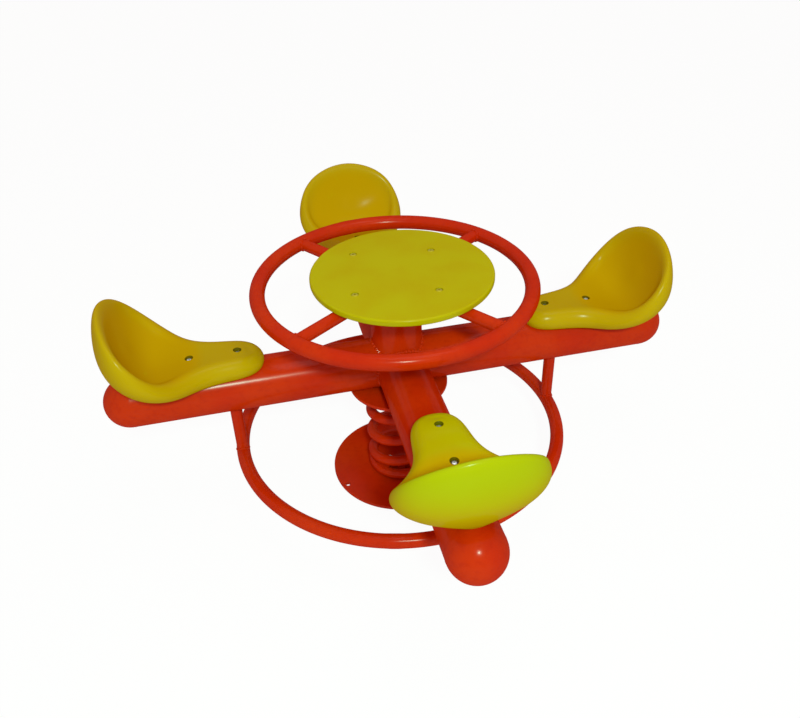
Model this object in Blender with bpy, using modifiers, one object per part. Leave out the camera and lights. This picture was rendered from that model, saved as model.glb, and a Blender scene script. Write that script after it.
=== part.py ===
"""Four-seat playground spring rocker.

A coil spring stands on a round base plate and carries a cross of tube. Each
arm of the cross ends in a dome and holds a moulded bucket seat. A post at the
crossing carries a round table and a steering-wheel shaped handle ring, and a
foot ring hangs below the arms on four struts.

Units are metres, +Z is up. The origin is the centre of the base plate's
underside. The arms run along X and Y.
"""
import math

import bmesh
import bpy
from mathutils import Matrix, Vector

# Clearances between pieces
FACE_GAP = 0.0003
BOLT_CLEARANCE = 0.0003

# A drill's length as a multiple of the wall that it passes through
THROUGH = 4

# How large a joint's empty is drawn
EMPTY_SIZE = 0.05

# Round shapes: number of facets
TUBE_FACETS = 28
DOME_RINGS = 5
RING_FACETS = 40
SMALL_FACETS = 10
HEX_FACETS = 6

# Base plate
BASE_RADIUS = 0.168
BASE_THICKNESS = 0.008
ANCHOR_COUNT = 4
ANCHOR_EDGE_DISTANCE = 0.013
ANCHOR_HOLE_RADIUS = 0.006
ANCHOR_FIRST_ANGLE = math.radians(200)
PLATE_BEVEL = 0.0015

# Coil spring
SPRING_HEIGHT = 0.246
SPRING_MEAN_RADIUS = 0.068
WIRE_RADIUS = 0.012
ACTIVE_TURNS = 3.44
SEATED_TURN = 0.48
RAMP_TURN = 0.25
SPRING_START_ANGLE = math.radians(154)
POINTS_PER_TURN = 10

# Spring clamps: hooked blocks inside the coil, bolted to the plates
CLAMP_SIDES = ("left", "right")
CLAMP_ANGLES = (math.radians(215), math.radians(300))
CLAMP_WIDTH = 0.028
CLAMP_INNER_RADIUS = 0.029
CLAMP_LIP_REACH = 0.005
CLAMP_LIP_THICKNESS = 0.006
CLAMP_BOLT_RADIUS = 0.005
CLAMP_HEAD_RADIUS = 0.0085
CLAMP_HEAD_HEIGHT = 0.0064

# Plate on top of the spring
TOP_PLATE_RADIUS = 0.115
TOP_PLATE_THICKNESS = 0.008

# Main tube: two beams and the post share it
BEAM_RADIUS = 0.057
BEAM_WALL = 0.004
ARM_LENGTH = 0.596

# Handle ring and its spokes
HANDLE_Z = 0.5215
HANDLE_RING_RADIUS = 0.296
HANDLE_TUBE_RADIUS = 0.0165
HANDLE_TUBE_FACETS = 12
SPOKE_RADIUS = 0.0135
SPOKE_WALL = 0.0025
SPOKE_FIRST_ANGLE = math.radians(35.5)
SPOKE_FACETS = 12

# Table: its disc sits a little off the post's axis
TABLE_RADIUS = 0.199
TABLE_OFFSET = (0.016, -0.003)
TABLE_THICKNESS = 0.015
TABLE_BEVEL = 0.003
TABLE_BOLT_CIRCLE_RADIUS = 0.123
TABLE_BOLT_RADIUS = 0.004
TABLE_HEAD_RADIUS = 0.007
TABLE_HEAD_HEIGHT = 0.0026
TABLE_RECESS_RADIUS = 0.0085
TABLE_RECESS_DEPTH = 0.0032

# Foot ring and its struts
FOOT_RING_RADIUS = 0.379
FOOT_RING_Z = 0.127
FOOT_TUBE_RADIUS = 0.0155
FOOT_TUBE_FACETS = 12
STRUT_RADIUS = 0.0135
STRUT_WALL = 0.0025
STRUT_FACETS = 12

# Seats: measured outwards from the inner bolt and up from the arm's crown
SEAT_SETBACK = 0.242
SEAT_BOLT_SPACING = 0.103
SEAT_BOLT_RADIUS = 0.004
SEAT_HEAD_RADIUS = 0.0068
SEAT_HEAD_HEIGHT = 0.0044
SEAT_RECESS_RADIUS = 0.0085
SEAT_RECESS_DRILL = 0.03
SEAT_FLOOR_UNDER_BOLT = 0.024
SEAT_RIM_OUT = 0.015
SEAT_RIM_IN = 0.018
SEAT_WALL_IN = 0.0235
SEAT_RIM_DROP = 0.4
SEAT_LIP_DROP = 0.12
SEAT_WALL_DROP = 0.42
SEAT_DISH_SHARE = 0.3
SEAT_BELLY_SHARE = 0.16
SEAT_SUBDIVISIONS = 1

# Top of the seat's rolled rim, tongue tip to back, as (out, sideways, up)
SEAT_CREST = (
    (-0.044, 0.000, 0.028),
    (-0.037, 0.029, 0.030),
    (-0.008, 0.043, 0.034),
    (0.041, 0.046, 0.036),
    (0.091, 0.061, 0.036),
    (0.131, 0.096, 0.037),
    (0.168, 0.127, 0.060),
    (0.213, 0.136, 0.110),
    (0.256, 0.103, 0.163),
    (0.276, 0.000, 0.196),
)

# Lower edge of the seat's outer side, at the same stations
SEAT_LOWER = (
    (-0.049, 0.000, -0.010),
    (-0.042, 0.031, -0.012),
    (-0.009, 0.045, -0.016),
    (0.041, 0.048, -0.017),
    (0.089, 0.060, -0.017),
    (0.128, 0.084, -0.014),
    (0.160, 0.098, -0.006),
    (0.195, 0.098, 0.000),
    (0.232, 0.070, 0.006),
    (0.250, 0.000, 0.012),
)

# Middle of the seat's floor and of its underside, as (out, up)
SEAT_FLOOR = (
    (-0.010, 0.034), (-0.005, 0.034), (0.008, 0.035), (0.044, 0.035), (0.096, 0.033),
    (0.136, 0.026), (0.166, 0.023), (0.190, 0.029), (0.212, 0.054), (0.230, 0.098),
)
SEAT_UNDERSIDE = (
    (-0.034, -0.018), (-0.024, -0.021), (0.002, -0.022), (0.044, -0.022), (0.096, -0.022),
    (0.136, -0.022), (0.166, -0.022), (0.196, -0.022), (0.226, -0.018), (0.240, -0.010),
)

# Bolts and nuts: a head's flat crown and its upright side are shares of its size
HEAD_CROWN = 0.62
HEAD_SIDE = 0.35
NUT_ACROSS_CORNERS_RADIUS = 0.0075
NUT_HEIGHT = 0.0065
BOLT_THREAD_BEYOND_NUT = 0.002

# Where the seats' inner bolts stand
SEAT_BOLT_DISTANCE = ARM_LENGTH - SEAT_SETBACK

# Heights that follow from the stack of pieces
SPRING_BOTTOM = BASE_THICKNESS + FACE_GAP
SPRING_TOP = SPRING_BOTTOM + SPRING_HEIGHT
TOP_PLATE_BOTTOM = SPRING_TOP + FACE_GAP
TOP_PLATE_TOP = TOP_PLATE_BOTTOM + TOP_PLATE_THICKNESS
BEAM_Z = TOP_PLATE_TOP + FACE_GAP + BEAM_RADIUS
BEAM_CROWN = BEAM_Z + BEAM_RADIUS
TABLE_BOTTOM = HANDLE_Z + SPOKE_RADIUS + FACE_GAP
TABLE_TOP = TABLE_BOTTOM + TABLE_THICKNESS
POST_TOP = TABLE_BOTTOM - FACE_GAP
ROCK_PIVOT_Z = SPRING_BOTTOM + SPRING_HEIGHT / 2

ARMS = {
    "right": 0.0,
    "rear": math.pi / 2,
    "left": math.pi,
    "front": -math.pi / 2,
}
SPOKES = ("rear_right", "rear_left", "front_left", "front_right")


def clear_scene():
    """Remove every object, so that the model starts from nothing."""
    for item in list(bpy.data.objects):
        bpy.data.objects.remove(item, do_unlink=True)


def make_collection(name):
    collection = bpy.data.collections.new(name)
    bpy.context.scene.collection.children.link(collection)
    return collection


clear_scene()
MODEL = make_collection("spring_rocker")
CUTTERS = make_collection("cutters")


def make_material(name, colour, roughness, metallic=0.0):
    """A plain Principled BSDF with the piece's colour."""
    material = bpy.data.materials.new(name)
    material.use_nodes = True
    shader = material.node_tree.nodes["Principled BSDF"]
    shader.inputs["Base Color"].default_value = (*colour, 1.0)
    shader.inputs["Roughness"].default_value = roughness
    shader.inputs["Metallic"].default_value = metallic
    return material


FINISHES = {
    "red_paint": ((0.48, 0.016, 0.001), 0.25, 0.0),
    "yellow_plastic": ((0.42, 0.35, 0.001), 0.35, 0.0),
    "zinc": ((0.60, 0.60, 0.58), 0.35, 1.0),
}


def make_empty(name, location, parent=None):
    """A joint's centre, or the frame that carries it."""
    empty = bpy.data.objects.new(name, None)
    empty.empty_display_size = EMPTY_SIZE
    empty.location = location
    MODEL.objects.link(empty)
    if parent is not None:
        empty.parent = parent
        empty.location = Vector(location) - Vector(parent.location)
    return empty


BASE = make_empty("base_frame", (0, 0, 0))
ROCK_FORE = make_empty("rock_fore_pivot", (0, 0, ROCK_PIVOT_Z), BASE)
ROCK_SIDE = make_empty("rock_side_pivot", (0, 0, 0))
ROCK_SIDE.parent = ROCK_FORE


def carry(piece, parent):
    """Parent a piece to an empty without moving it."""
    height = 0.0 if parent is BASE else ROCK_PIVOT_Z
    piece.parent = parent
    piece.matrix_parent_inverse = Matrix.Translation((0, 0, -height))


def finish(piece, name, parent, finish_name):
    """Name a piece, give it its own material and hang it on its joint."""
    piece.name = name
    piece.data.name = name
    piece.data.materials.clear()
    piece.data.materials.append(make_material(name, *FINISHES[finish_name]))
    carry(piece, parent)
    return piece


def link(mesh, name, collection):
    item = bpy.data.objects.new(name, mesh)
    collection.objects.link(item)
    return item


def to_collection(item, collection):
    """Move an object that an operator has made into its collection."""
    for old in list(item.users_collection):
        old.objects.unlink(item)
    collection.objects.link(item)
    return item


def as_cutter(item):
    to_collection(item, CUTTERS)
    item.hide_render = True
    item.display_type = "WIRE"
    return item


def cut(piece, cutter):
    modifier = piece.modifiers.new("cut", "BOOLEAN")
    modifier.operation = "DIFFERENCE"
    modifier.solver = "EXACT"
    modifier.object = cutter
    return piece


def evaluated_mesh(item):
    """The mesh that an object's modifiers or curve settings make, in world space."""
    depsgraph = bpy.context.evaluated_depsgraph_get()
    mesh = bpy.data.meshes.new_from_object(item.evaluated_get(depsgraph))
    mesh.transform(item.matrix_world)
    return mesh


def smooth(mesh, angle=math.radians(35)):
    mesh.shade_smooth()
    mesh.set_sharp_from_angle(angle=angle)


def bar(name, radius, length, centre, direction, facets, capped=True):
    """A cylinder, or an open cylinder wall, whose axis follows a direction."""
    turn = Vector((0, 0, 1)).rotation_difference(Vector(direction)).to_euler()
    bpy.ops.mesh.primitive_cylinder_add(
        vertices=facets,
        radius=radius,
        depth=length,
        end_fill_type="NGON" if capped else "NOTHING",
        location=centre,
        rotation=turn,
    )
    item = bpy.context.object
    item.name = name
    smooth(item.data)
    return item


def tube(name, radius, wall, start, end, facets):
    """A tube with open ends: an open cylinder wall made thick inwards."""
    start = Vector(start)
    end = Vector(end)
    item = bar(name, radius, (end - start).length, (start + end) / 2, end - start, facets, False)
    to_collection(item, MODEL)
    shell = item.modifiers.new("wall", "SOLIDIFY")
    shell.thickness = wall
    shell.offset = -1.0
    return item


def turned(name, profile, facets):
    """A profile of (radius, height), top to bottom on its outer side, turned about Z."""
    mesh = bpy.data.meshes.new(name)
    points = [(radius, 0.0, height) for radius, height in profile]
    edges = [(i, i + 1) for i in range(len(points) - 1)]
    mesh.from_pydata(points, edges, [])
    item = link(mesh, name, MODEL)
    screw = item.modifiers.new("turn", "SCREW")
    screw.axis = "Z"
    screw.angle = math.tau
    screw.steps = facets
    screw.render_steps = facets
    screw.use_merge_vertices = True
    screw.merge_threshold = 0.00001
    screw.use_smooth_shade = True
    return item


def place_copies(names, mesh, places, parent, finish_name):
    """A named piece at each place, all with the shape of one mesh."""
    smooth(mesh)
    for name, place in zip(names, places, strict=True):
        shape = mesh.copy()
        shape.transform(place)
        finish(link(shape, name, MODEL), name, parent, finish_name)


def polar(radius, angle, height):
    return Vector((radius * math.cos(angle), radius * math.sin(angle), height))


def ring_cutter(name, radius, tube_radius, height, facets):
    """The space that a ring takes up, with the gap between two faces added."""
    bpy.ops.mesh.primitive_torus_add(
        major_radius=radius,
        minor_radius=tube_radius + FACE_GAP,
        major_segments=RING_FACETS,
        minor_segments=facets,
        location=(0, 0, height),
    )
    item = bpy.context.object
    item.name = name
    return as_cutter(item)


def beam_cutter(name, direction):
    """The space that a beam takes up, with the gap between two faces added."""
    length = 2 * (ARM_LENGTH + BEAM_RADIUS)
    item = bar(name, BEAM_RADIUS + FACE_GAP, length, (0, 0, BEAM_Z), direction, TUBE_FACETS)
    return as_cutter(item)


def round_plate(name, radius, thickness, bottom, edge, offset=(0.0, 0.0)):
    """A disc with its rims bevelled."""
    centre = (*offset, bottom + thickness / 2)
    item = bar(name, radius, thickness, centre, (0, 0, 1), RING_FACETS)
    to_collection(item, MODEL)
    rounding = item.modifiers.new("rim", "BEVEL")
    rounding.width = edge
    rounding.limit_method = "ANGLE"
    return item


def drill(piece, name, radius, length, centres, direction=(0, 0, 1)):
    """Cut a round hole at each centre, all of them as one cutter."""
    drills = []
    for centre in centres:
        drills.append(bar(name, radius, length, centre, direction, SMALL_FACETS))
    bpy.context.view_layer.update()
    joined = bmesh.new()
    for item in drills:
        start = len(joined.verts)
        joined.from_mesh(item.data)
        joined.verts.ensure_lookup_table()
        bmesh.ops.transform(joined, matrix=item.matrix_world, verts=joined.verts[start:])
        bpy.data.objects.remove(item, do_unlink=True)
    mesh = bpy.data.meshes.new(name)
    joined.to_mesh(mesh)
    joined.free()
    return cut(piece, as_cutter(link(mesh, name, CUTTERS)))


def clamp_web_reach():
    """How far out a clamp's web may stand, so that its corners clear the wire's straight runs."""
    bore = SPRING_MEAN_RADIUS * math.cos(math.pi / POINTS_PER_TURN) - WIRE_RADIUS
    return math.sqrt((bore - FACE_GAP) ** 2 - (CLAMP_WIDTH / 2) ** 2)


def clamp_bolt_reach():
    return (CLAMP_INNER_RADIUS + clamp_web_reach()) / 2


def clamp_bolt_centres(height):
    return [polar(clamp_bolt_reach(), angle, height) for angle in CLAMP_ANGLES]


def upper_clamp_bolt_centres(height):
    return [polar(clamp_bolt_reach(), angle, height) for angle in upper_clamp_angles()]


def total_turns():
    return 2 * (SEATED_TURN + RAMP_TURN) + ACTIVE_TURNS - RAMP_TURN


def upper_clamp_angles():
    """The upper clamps sit on the last turn as the lower ones sit on the first."""
    end_angle = SPRING_START_ANGLE + math.tau * total_turns()
    return [end_angle - (angle - SPRING_START_ANGLE) for angle in CLAMP_ANGLES]


def make_base_plate():
    plate = round_plate("base_plate", BASE_RADIUS, BASE_THICKNESS, 0.0, PLATE_BEVEL)
    step = math.tau / ANCHOR_COUNT
    circle = BASE_RADIUS - ANCHOR_EDGE_DISTANCE
    anchors = [polar(circle, ANCHOR_FIRST_ANGLE + k * step, 0.0) for k in range(ANCHOR_COUNT)]
    drill(plate, "anchor_holes", ANCHOR_HOLE_RADIUS, THROUGH * BASE_THICKNESS, anchors)
    tapped = CLAMP_BOLT_RADIUS + BOLT_CLEARANCE
    drill(plate, "base_taps", tapped, THROUGH * BASE_THICKNESS, clamp_bolt_centres(0.0))
    finish(plate, "base_plate", BASE, "red_paint")


def wire_rise(turn, pitch):
    """How far the wire has climbed after a number of turns from its lower end."""
    ramp_end = SEATED_TURN + RAMP_TURN
    upper_ramp = ramp_end + ACTIVE_TURNS - RAMP_TURN
    if turn <= SEATED_TURN:
        return 0.0
    if turn <= ramp_end:
        return pitch * (turn - SEATED_TURN) ** 2 / (2 * RAMP_TURN)
    if turn <= upper_ramp:
        return pitch * (RAMP_TURN / 2 + turn - ramp_end)
    return pitch * ACTIVE_TURNS - wire_rise(total_turns() - turn, pitch)


def spring_points(per_turn):
    """The wire's middle line: seated end turns with steady turns between them."""
    pitch = (SPRING_HEIGHT - 2 * WIRE_RADIUS) / ACTIVE_TURNS
    count = math.ceil(total_turns() * per_turn)
    points = []
    for k in range(count + 1):
        turn = total_turns() * k / count
        angle = SPRING_START_ANGLE + math.tau * turn
        height = SPRING_BOTTOM + WIRE_RADIUS + wire_rise(turn, pitch)
        points.append(polar(SPRING_MEAN_RADIUS, angle, height))
    return points


def print_spring_gap():
    """Measure the least gap between two stretches of the wire."""
    per_turn = 6 * POINTS_PER_TURN
    points = spring_points(per_turn)
    least = min(
        (a - b).length
        for i, a in enumerate(points)
        for b in points[i + per_turn // 2:]
    )
    print("least gap between turns of the spring, mm:", round(1000 * (least - 2 * WIRE_RADIUS), 2))


def poly_tube(name, points, radius, bevel_resolution):
    """A round tube along straight runs between points, with filled caps."""
    curve = bpy.data.curves.new(name, "CURVE")
    curve.dimensions = "3D"
    curve.bevel_depth = radius
    curve.bevel_resolution = bevel_resolution
    curve.use_fill_caps = True
    spline = curve.splines.new("POLY")
    spline.points.add(len(points) - 1)
    for control, point in zip(spline.points, points):
        control.co = (*point, 1.0)
    item = bpy.data.objects.new(name, curve)
    MODEL.objects.link(item)
    return item


def make_spring():
    print_spring_gap()
    spring = poly_tube("coil_spring", spring_points(POINTS_PER_TURN), WIRE_RADIUS, 1)
    finish(spring, "coil_spring", ROCK_FORE, "red_paint")


def clamp_section():
    """The clamp's side view as (distance from the spring's axis, height above its plate)."""
    web = clamp_web_reach()
    lip_bottom = FACE_GAP + 2 * WIRE_RADIUS + FACE_GAP
    lip_top = lip_bottom + CLAMP_LIP_THICKNESS
    lip_end = SPRING_MEAN_RADIUS + CLAMP_LIP_REACH
    return [
        (CLAMP_INNER_RADIUS, FACE_GAP),
        (web, FACE_GAP),
        (web, lip_bottom),
        (lip_end, lip_bottom),
        (lip_end, lip_top),
        (CLAMP_INNER_RADIUS, lip_top),
    ]


def clamp_top():
    return 2 * FACE_GAP + 2 * WIRE_RADIUS + CLAMP_LIP_THICKNESS


def make_clamp_mesh():
    """One hooked block: its outline extruded sideways, then drilled for its bolt."""
    curve = bpy.data.curves.new("clamp_outline", "CURVE")
    curve.dimensions = "2D"
    curve.fill_mode = "BOTH"
    curve.extrude = CLAMP_WIDTH / 2
    outline = curve.splines.new("POLY")
    section = clamp_section()
    outline.points.add(len(section) - 1)
    for control, (reach, height) in zip(outline.points, section):
        control.co = (reach, height, 0.0, 1.0)
    outline.use_cyclic_u = True
    guide = bpy.data.objects.new("clamp_outline", curve)
    guide.rotation_euler = (math.pi / 2, 0, 0)
    CUTTERS.objects.link(guide)
    bpy.context.view_layer.update()
    mesh = evaluated_mesh(guide)
    bpy.data.objects.remove(guide, do_unlink=True)
    welded = bmesh.new()
    welded.from_mesh(mesh)
    bmesh.ops.remove_doubles(welded, verts=welded.verts, dist=0.00001)
    bmesh.ops.recalc_face_normals(welded, faces=welded.faces)
    welded.to_mesh(mesh)
    welded.free()
    block = link(mesh, "clamp_block", MODEL)
    bore = CLAMP_BOLT_RADIUS + BOLT_CLEARANCE
    drill(block, "clamp_bore", bore, THROUGH * clamp_top(), [(clamp_bolt_reach(), 0, 0)])
    bpy.context.view_layer.update()
    result = evaluated_mesh(block)
    bpy.data.objects.remove(block, do_unlink=True)
    return result


def bolt_mesh(name, head_radius, head_height, shank_radius, shank_length):
    """A bolt that stands at the origin: a low domed head above a straight shank."""
    item = turned(
        name,
        [
            (0.0, head_height),
            (HEAD_CROWN * head_radius, head_height),
            (head_radius, HEAD_SIDE * head_height),
            (head_radius, 0.0),
            (shank_radius, 0.0),
            (shank_radius, -shank_length),
            (0.0, -shank_length),
        ],
        SMALL_FACETS,
    )
    bpy.context.view_layer.update()
    mesh = evaluated_mesh(item)
    bpy.data.objects.remove(item, do_unlink=True)
    return mesh


def make_lower_clamps():
    block = make_clamp_mesh()
    lift = Matrix.Translation((0, 0, BASE_THICKNESS))
    places = [lift @ Matrix.Rotation(angle, 4, "Z") for angle in CLAMP_ANGLES]
    names = ["lower_spring_clamp_" + side for side in CLAMP_SIDES]
    place_copies(names, block, places, BASE, "red_paint")
    bottom = BASE_THICKNESS + clamp_top() + FACE_GAP
    bolt = bolt_mesh(
        "clamp_bolt", CLAMP_HEAD_RADIUS, CLAMP_HEAD_HEIGHT, CLAMP_BOLT_RADIUS, bottom - FACE_GAP
    )
    places = [Matrix.Translation(centre) for centre in clamp_bolt_centres(bottom)]
    names = ["lower_clamp_bolt_" + side for side in CLAMP_SIDES]
    place_copies(names, bolt, places, BASE, "zinc")


def make_upper_clamps():
    """The same blocks and bolts, turned upside down under the top plate."""
    block = make_clamp_mesh()
    flip = Matrix.Rotation(math.pi, 4, "X")
    drop = Matrix.Translation((0, 0, TOP_PLATE_BOTTOM))
    turns = [Matrix.Rotation(angle, 4, "Z") for angle in upper_clamp_angles()]
    places = [drop @ turn @ flip for turn in turns]
    names = ["upper_spring_clamp_" + side for side in CLAMP_SIDES]
    place_copies(names, block, places, ROCK_SIDE, "red_paint")
    top = TOP_PLATE_BOTTOM - clamp_top() - FACE_GAP
    length = TOP_PLATE_TOP - top - FACE_GAP
    bolt = bolt_mesh(
        "clamp_bolt", CLAMP_HEAD_RADIUS, CLAMP_HEAD_HEIGHT, CLAMP_BOLT_RADIUS, length
    )
    places = [Matrix.Translation(centre) @ flip for centre in upper_clamp_bolt_centres(top)]
    names = ["upper_clamp_bolt_" + side for side in CLAMP_SIDES]
    place_copies(names, bolt, places, ROCK_SIDE, "zinc")


def make_top_plate():
    plate = round_plate(
        "spring_top_plate",
        TOP_PLATE_RADIUS,
        TOP_PLATE_THICKNESS,
        TOP_PLATE_BOTTOM,
        PLATE_BEVEL,
    )
    tapped = CLAMP_BOLT_RADIUS + BOLT_CLEARANCE
    centres = upper_clamp_bolt_centres(TOP_PLATE_BOTTOM)
    drill(plate, "top_taps", tapped, THROUGH * TOP_PLATE_THICKNESS, centres)
    finish(plate, "spring_top_plate", ROCK_SIDE, "red_paint")


def seat_bolt_distances():
    return (SEAT_BOLT_DISTANCE, SEAT_BOLT_DISTANCE + SEAT_BOLT_SPACING)


def seat_bolt_centres(arm_names, height):
    return [
        polar(distance, ARMS[arm], height)
        for arm in arm_names
        for distance in seat_bolt_distances()
    ]


def make_beams(beam_x, beam_y):
    """One beam from left to right, an arm on each side of it and the post on top."""
    hole = SEAT_BOLT_RADIUS + BOLT_CLEARANCE
    beam = tube(
        "cross_beam",
        BEAM_RADIUS,
        BEAM_WALL,
        (-ARM_LENGTH, 0, BEAM_Z),
        (ARM_LENGTH, 0, BEAM_Z),
        TUBE_FACETS,
    )
    centres = seat_bolt_centres(("left", "right"), BEAM_CROWN)
    drill(beam, "beam_bolt_holes", hole, BEAM_RADIUS, centres)
    finish(beam, "cross_beam", ROCK_SIDE, "red_paint")
    for arm in ("front", "rear"):
        end = polar(ARM_LENGTH, ARMS[arm], BEAM_Z)
        piece = tube(arm + "_arm", BEAM_RADIUS, BEAM_WALL, (0, 0, BEAM_Z), end, TUBE_FACETS)
        cut(piece, beam_x)
        centres = seat_bolt_centres((arm,), BEAM_CROWN)
        drill(piece, arm + "_bolt_holes", hole, BEAM_RADIUS, centres)
        finish(piece, arm + "_arm", ROCK_SIDE, "red_paint")
    post = tube(
        "centre_post", BEAM_RADIUS, BEAM_WALL, (0, 0, BEAM_Z), (0, 0, POST_TOP), TUBE_FACETS
    )
    cut(post, beam_x)
    cut(post, beam_y)
    finish(post, "centre_post", ROCK_SIDE, "red_paint")


def dome_profile(radius, wall):
    """Section of a domed cap: outer arc from pole to rim, and back along the inner arc."""
    angles = [math.pi / 2 * k / DOME_RINGS for k in range(DOME_RINGS + 1)]
    outer = [(radius * math.sin(a), radius * math.cos(a)) for a in angles]
    inner_radius = radius - wall
    inner = [(inner_radius * math.sin(a), inner_radius * math.cos(a)) for a in angles]
    return outer + inner[::-1]


def make_end_caps():
    for arm, angle in ARMS.items():
        cap = turned(arm + "_end_cap", dome_profile(BEAM_RADIUS, BEAM_WALL), TUBE_FACETS)
        cap.rotation_euler = (0, math.pi / 2, angle)
        cap.location = polar(ARM_LENGTH + FACE_GAP, angle, BEAM_Z)
        finish(cap, arm + "_end_cap", ROCK_SIDE, "red_paint")


def make_ring(name, radius, tube_radius, height, facets):
    bpy.ops.mesh.primitive_torus_add(
        major_radius=radius,
        minor_radius=tube_radius,
        major_segments=RING_FACETS,
        minor_segments=facets,
        location=(0, 0, height),
    )
    item = to_collection(bpy.context.object, MODEL)
    smooth(item.data)
    return finish(item, name, ROCK_SIDE, "red_paint")


def table_bolt_centres(height):
    return [
        polar(TABLE_BOLT_CIRCLE_RADIUS, SPOKE_FIRST_ANGLE + k * math.pi / 2, height)
        for k in range(len(SPOKES))
    ]


def make_handle(post_space):
    """The handle ring, and four spokes from the post to it."""
    make_ring(
        "handle_ring", HANDLE_RING_RADIUS, HANDLE_TUBE_RADIUS, HANDLE_Z, HANDLE_TUBE_FACETS
    )
    ring_space = ring_cutter(
        "handle_ring_space", HANDLE_RING_RADIUS, HANDLE_TUBE_RADIUS, HANDLE_Z, HANDLE_TUBE_FACETS
    )
    hole = TABLE_BOLT_RADIUS + BOLT_CLEARANCE
    for k, side in enumerate(SPOKES):
        angle = SPOKE_FIRST_ANGLE + k * math.pi / 2
        spoke = tube(
            side + "_spoke",
            SPOKE_RADIUS,
            SPOKE_WALL,
            polar(BEAM_RADIUS / 2, angle, HANDLE_Z),
            polar(HANDLE_RING_RADIUS, angle, HANDLE_Z),
            SPOKE_FACETS,
        )
        cut(spoke, post_space)
        cut(spoke, ring_space)
        drill(spoke, side + "_bolt_hole", hole, THROUGH * SPOKE_RADIUS, [table_bolt_centres(HANDLE_Z)[k]])
        finish(spoke, side + "_spoke", ROCK_SIDE, "red_paint")


def make_table():
    """The disc, and its bolts with their heads sunk below the top."""
    table = round_plate(
        "table_top", TABLE_RADIUS, TABLE_THICKNESS, TABLE_BOTTOM, TABLE_BEVEL, TABLE_OFFSET
    )
    hole = TABLE_BOLT_RADIUS + BOLT_CLEARANCE
    drill(table, "table_bolt_holes", hole, THROUGH * TABLE_THICKNESS, table_bolt_centres(TABLE_TOP))
    sunk = table_bolt_centres(TABLE_TOP)
    drill(table, "table_recesses", TABLE_RECESS_RADIUS, 2 * TABLE_RECESS_DEPTH, sunk)
    finish(table, "table_top", ROCK_SIDE, "yellow_plastic")
    head_bottom = TABLE_TOP - TABLE_RECESS_DEPTH + FACE_GAP
    nut_top = HANDLE_Z - SPOKE_RADIUS - FACE_GAP
    shank = head_bottom - nut_top + NUT_HEIGHT + BOLT_THREAD_BEYOND_NUT
    bolt = bolt_mesh(
        "table_bolt", TABLE_HEAD_RADIUS, TABLE_HEAD_HEIGHT, TABLE_BOLT_RADIUS, shank
    )
    places = [Matrix.Translation(centre) for centre in table_bolt_centres(head_bottom)]
    names = [side + "_table_bolt" for side in SPOKES]
    place_copies(names, bolt, places, ROCK_SIDE, "zinc")
    nut = nut_mesh(TABLE_BOLT_RADIUS)
    places = [Matrix.Translation(centre) for centre in table_bolt_centres(nut_top)]
    names = [side + "_table_nut" for side in SPOKES]
    place_copies(names, nut, places, ROCK_SIDE, "zinc")


def nut_mesh(bolt_radius):
    """A hexagon nut whose top face is at the origin."""
    middle = (0, 0, -NUT_HEIGHT / 2)
    nut = bar("nut", NUT_ACROSS_CORNERS_RADIUS, NUT_HEIGHT, middle, (0, 0, 1), HEX_FACETS)
    to_collection(nut, MODEL)
    drill(nut, "nut_thread", bolt_radius + BOLT_CLEARANCE, THROUGH * NUT_HEIGHT, [(0, 0, 0)])
    bpy.context.view_layer.update()
    mesh = evaluated_mesh(nut)
    bpy.data.objects.remove(nut, do_unlink=True)
    return mesh


def make_foot_ring(beam_x, beam_y):
    """The foot ring, and a strut up to each arm."""
    make_ring("foot_ring", FOOT_RING_RADIUS, FOOT_TUBE_RADIUS, FOOT_RING_Z, FOOT_TUBE_FACETS)
    ring_space = ring_cutter(
        "foot_ring_space", FOOT_RING_RADIUS, FOOT_TUBE_RADIUS, FOOT_RING_Z, FOOT_TUBE_FACETS
    )
    for arm, angle in ARMS.items():
        strut = tube(
            arm + "_foot_strut",
            STRUT_RADIUS,
            STRUT_WALL,
            polar(FOOT_RING_RADIUS, angle, FOOT_RING_Z),
            polar(FOOT_RING_RADIUS, angle, BEAM_Z),
            STRUT_FACETS,
        )
        cut(strut, beam_x if arm in ("left", "right") else beam_y)
        cut(strut, ring_space)
        finish(strut, arm + "_foot_strut", ROCK_SIDE, "red_paint")


def outward(index):
    """The rim's outward direction at a station, level and square to the rim."""
    before = Vector(SEAT_CREST[max(index - 1, 0)][:2])
    after = Vector(SEAT_CREST[min(index + 1, len(SEAT_CREST) - 1)][:2])
    along = after - before
    if index == 0:
        return Vector((-1.0, 0.0))
    if index == len(SEAT_CREST) - 1:
        return Vector((1.0, 0.0))
    return Vector((-along.y, along.x)).normalized()


def seat_station(index):
    """The seat's section at a station, from the middle of its underside to its floor."""
    crest = Vector(SEAT_CREST[index])
    lower = Vector(SEAT_LOWER[index])
    floor = Vector((SEAT_FLOOR[index][0], 0.0, SEAT_FLOOR[index][1]))
    underside = Vector((SEAT_UNDERSIDE[index][0], 0.0, SEAT_UNDERSIDE[index][1]))
    out = outward(index).to_3d()
    outer = crest + SEAT_RIM_OUT * out
    outer.z = crest.z - SEAT_RIM_DROP * (crest.z - lower.z)
    belly = (lower + outer) / 2 + SEAT_BELLY_SHARE * (outer.z - lower.z) * out
    lip = crest - SEAT_RIM_IN * out
    lip.z = crest.z - SEAT_LIP_DROP * (crest.z - floor.z)
    wall = crest - SEAT_WALL_IN * out
    wall.z = crest.z - SEAT_WALL_DROP * (crest.z - floor.z)
    dish = (wall + floor) / 2
    dish.z = floor.z + SEAT_DISH_SHARE * (wall.z - floor.z)
    section = [underside, lower, belly, outer, crest, lip, wall, dish, floor]
    if index in (0, len(SEAT_CREST) - 1):
        for point in section:
            point.y = 0.0
    return section


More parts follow.
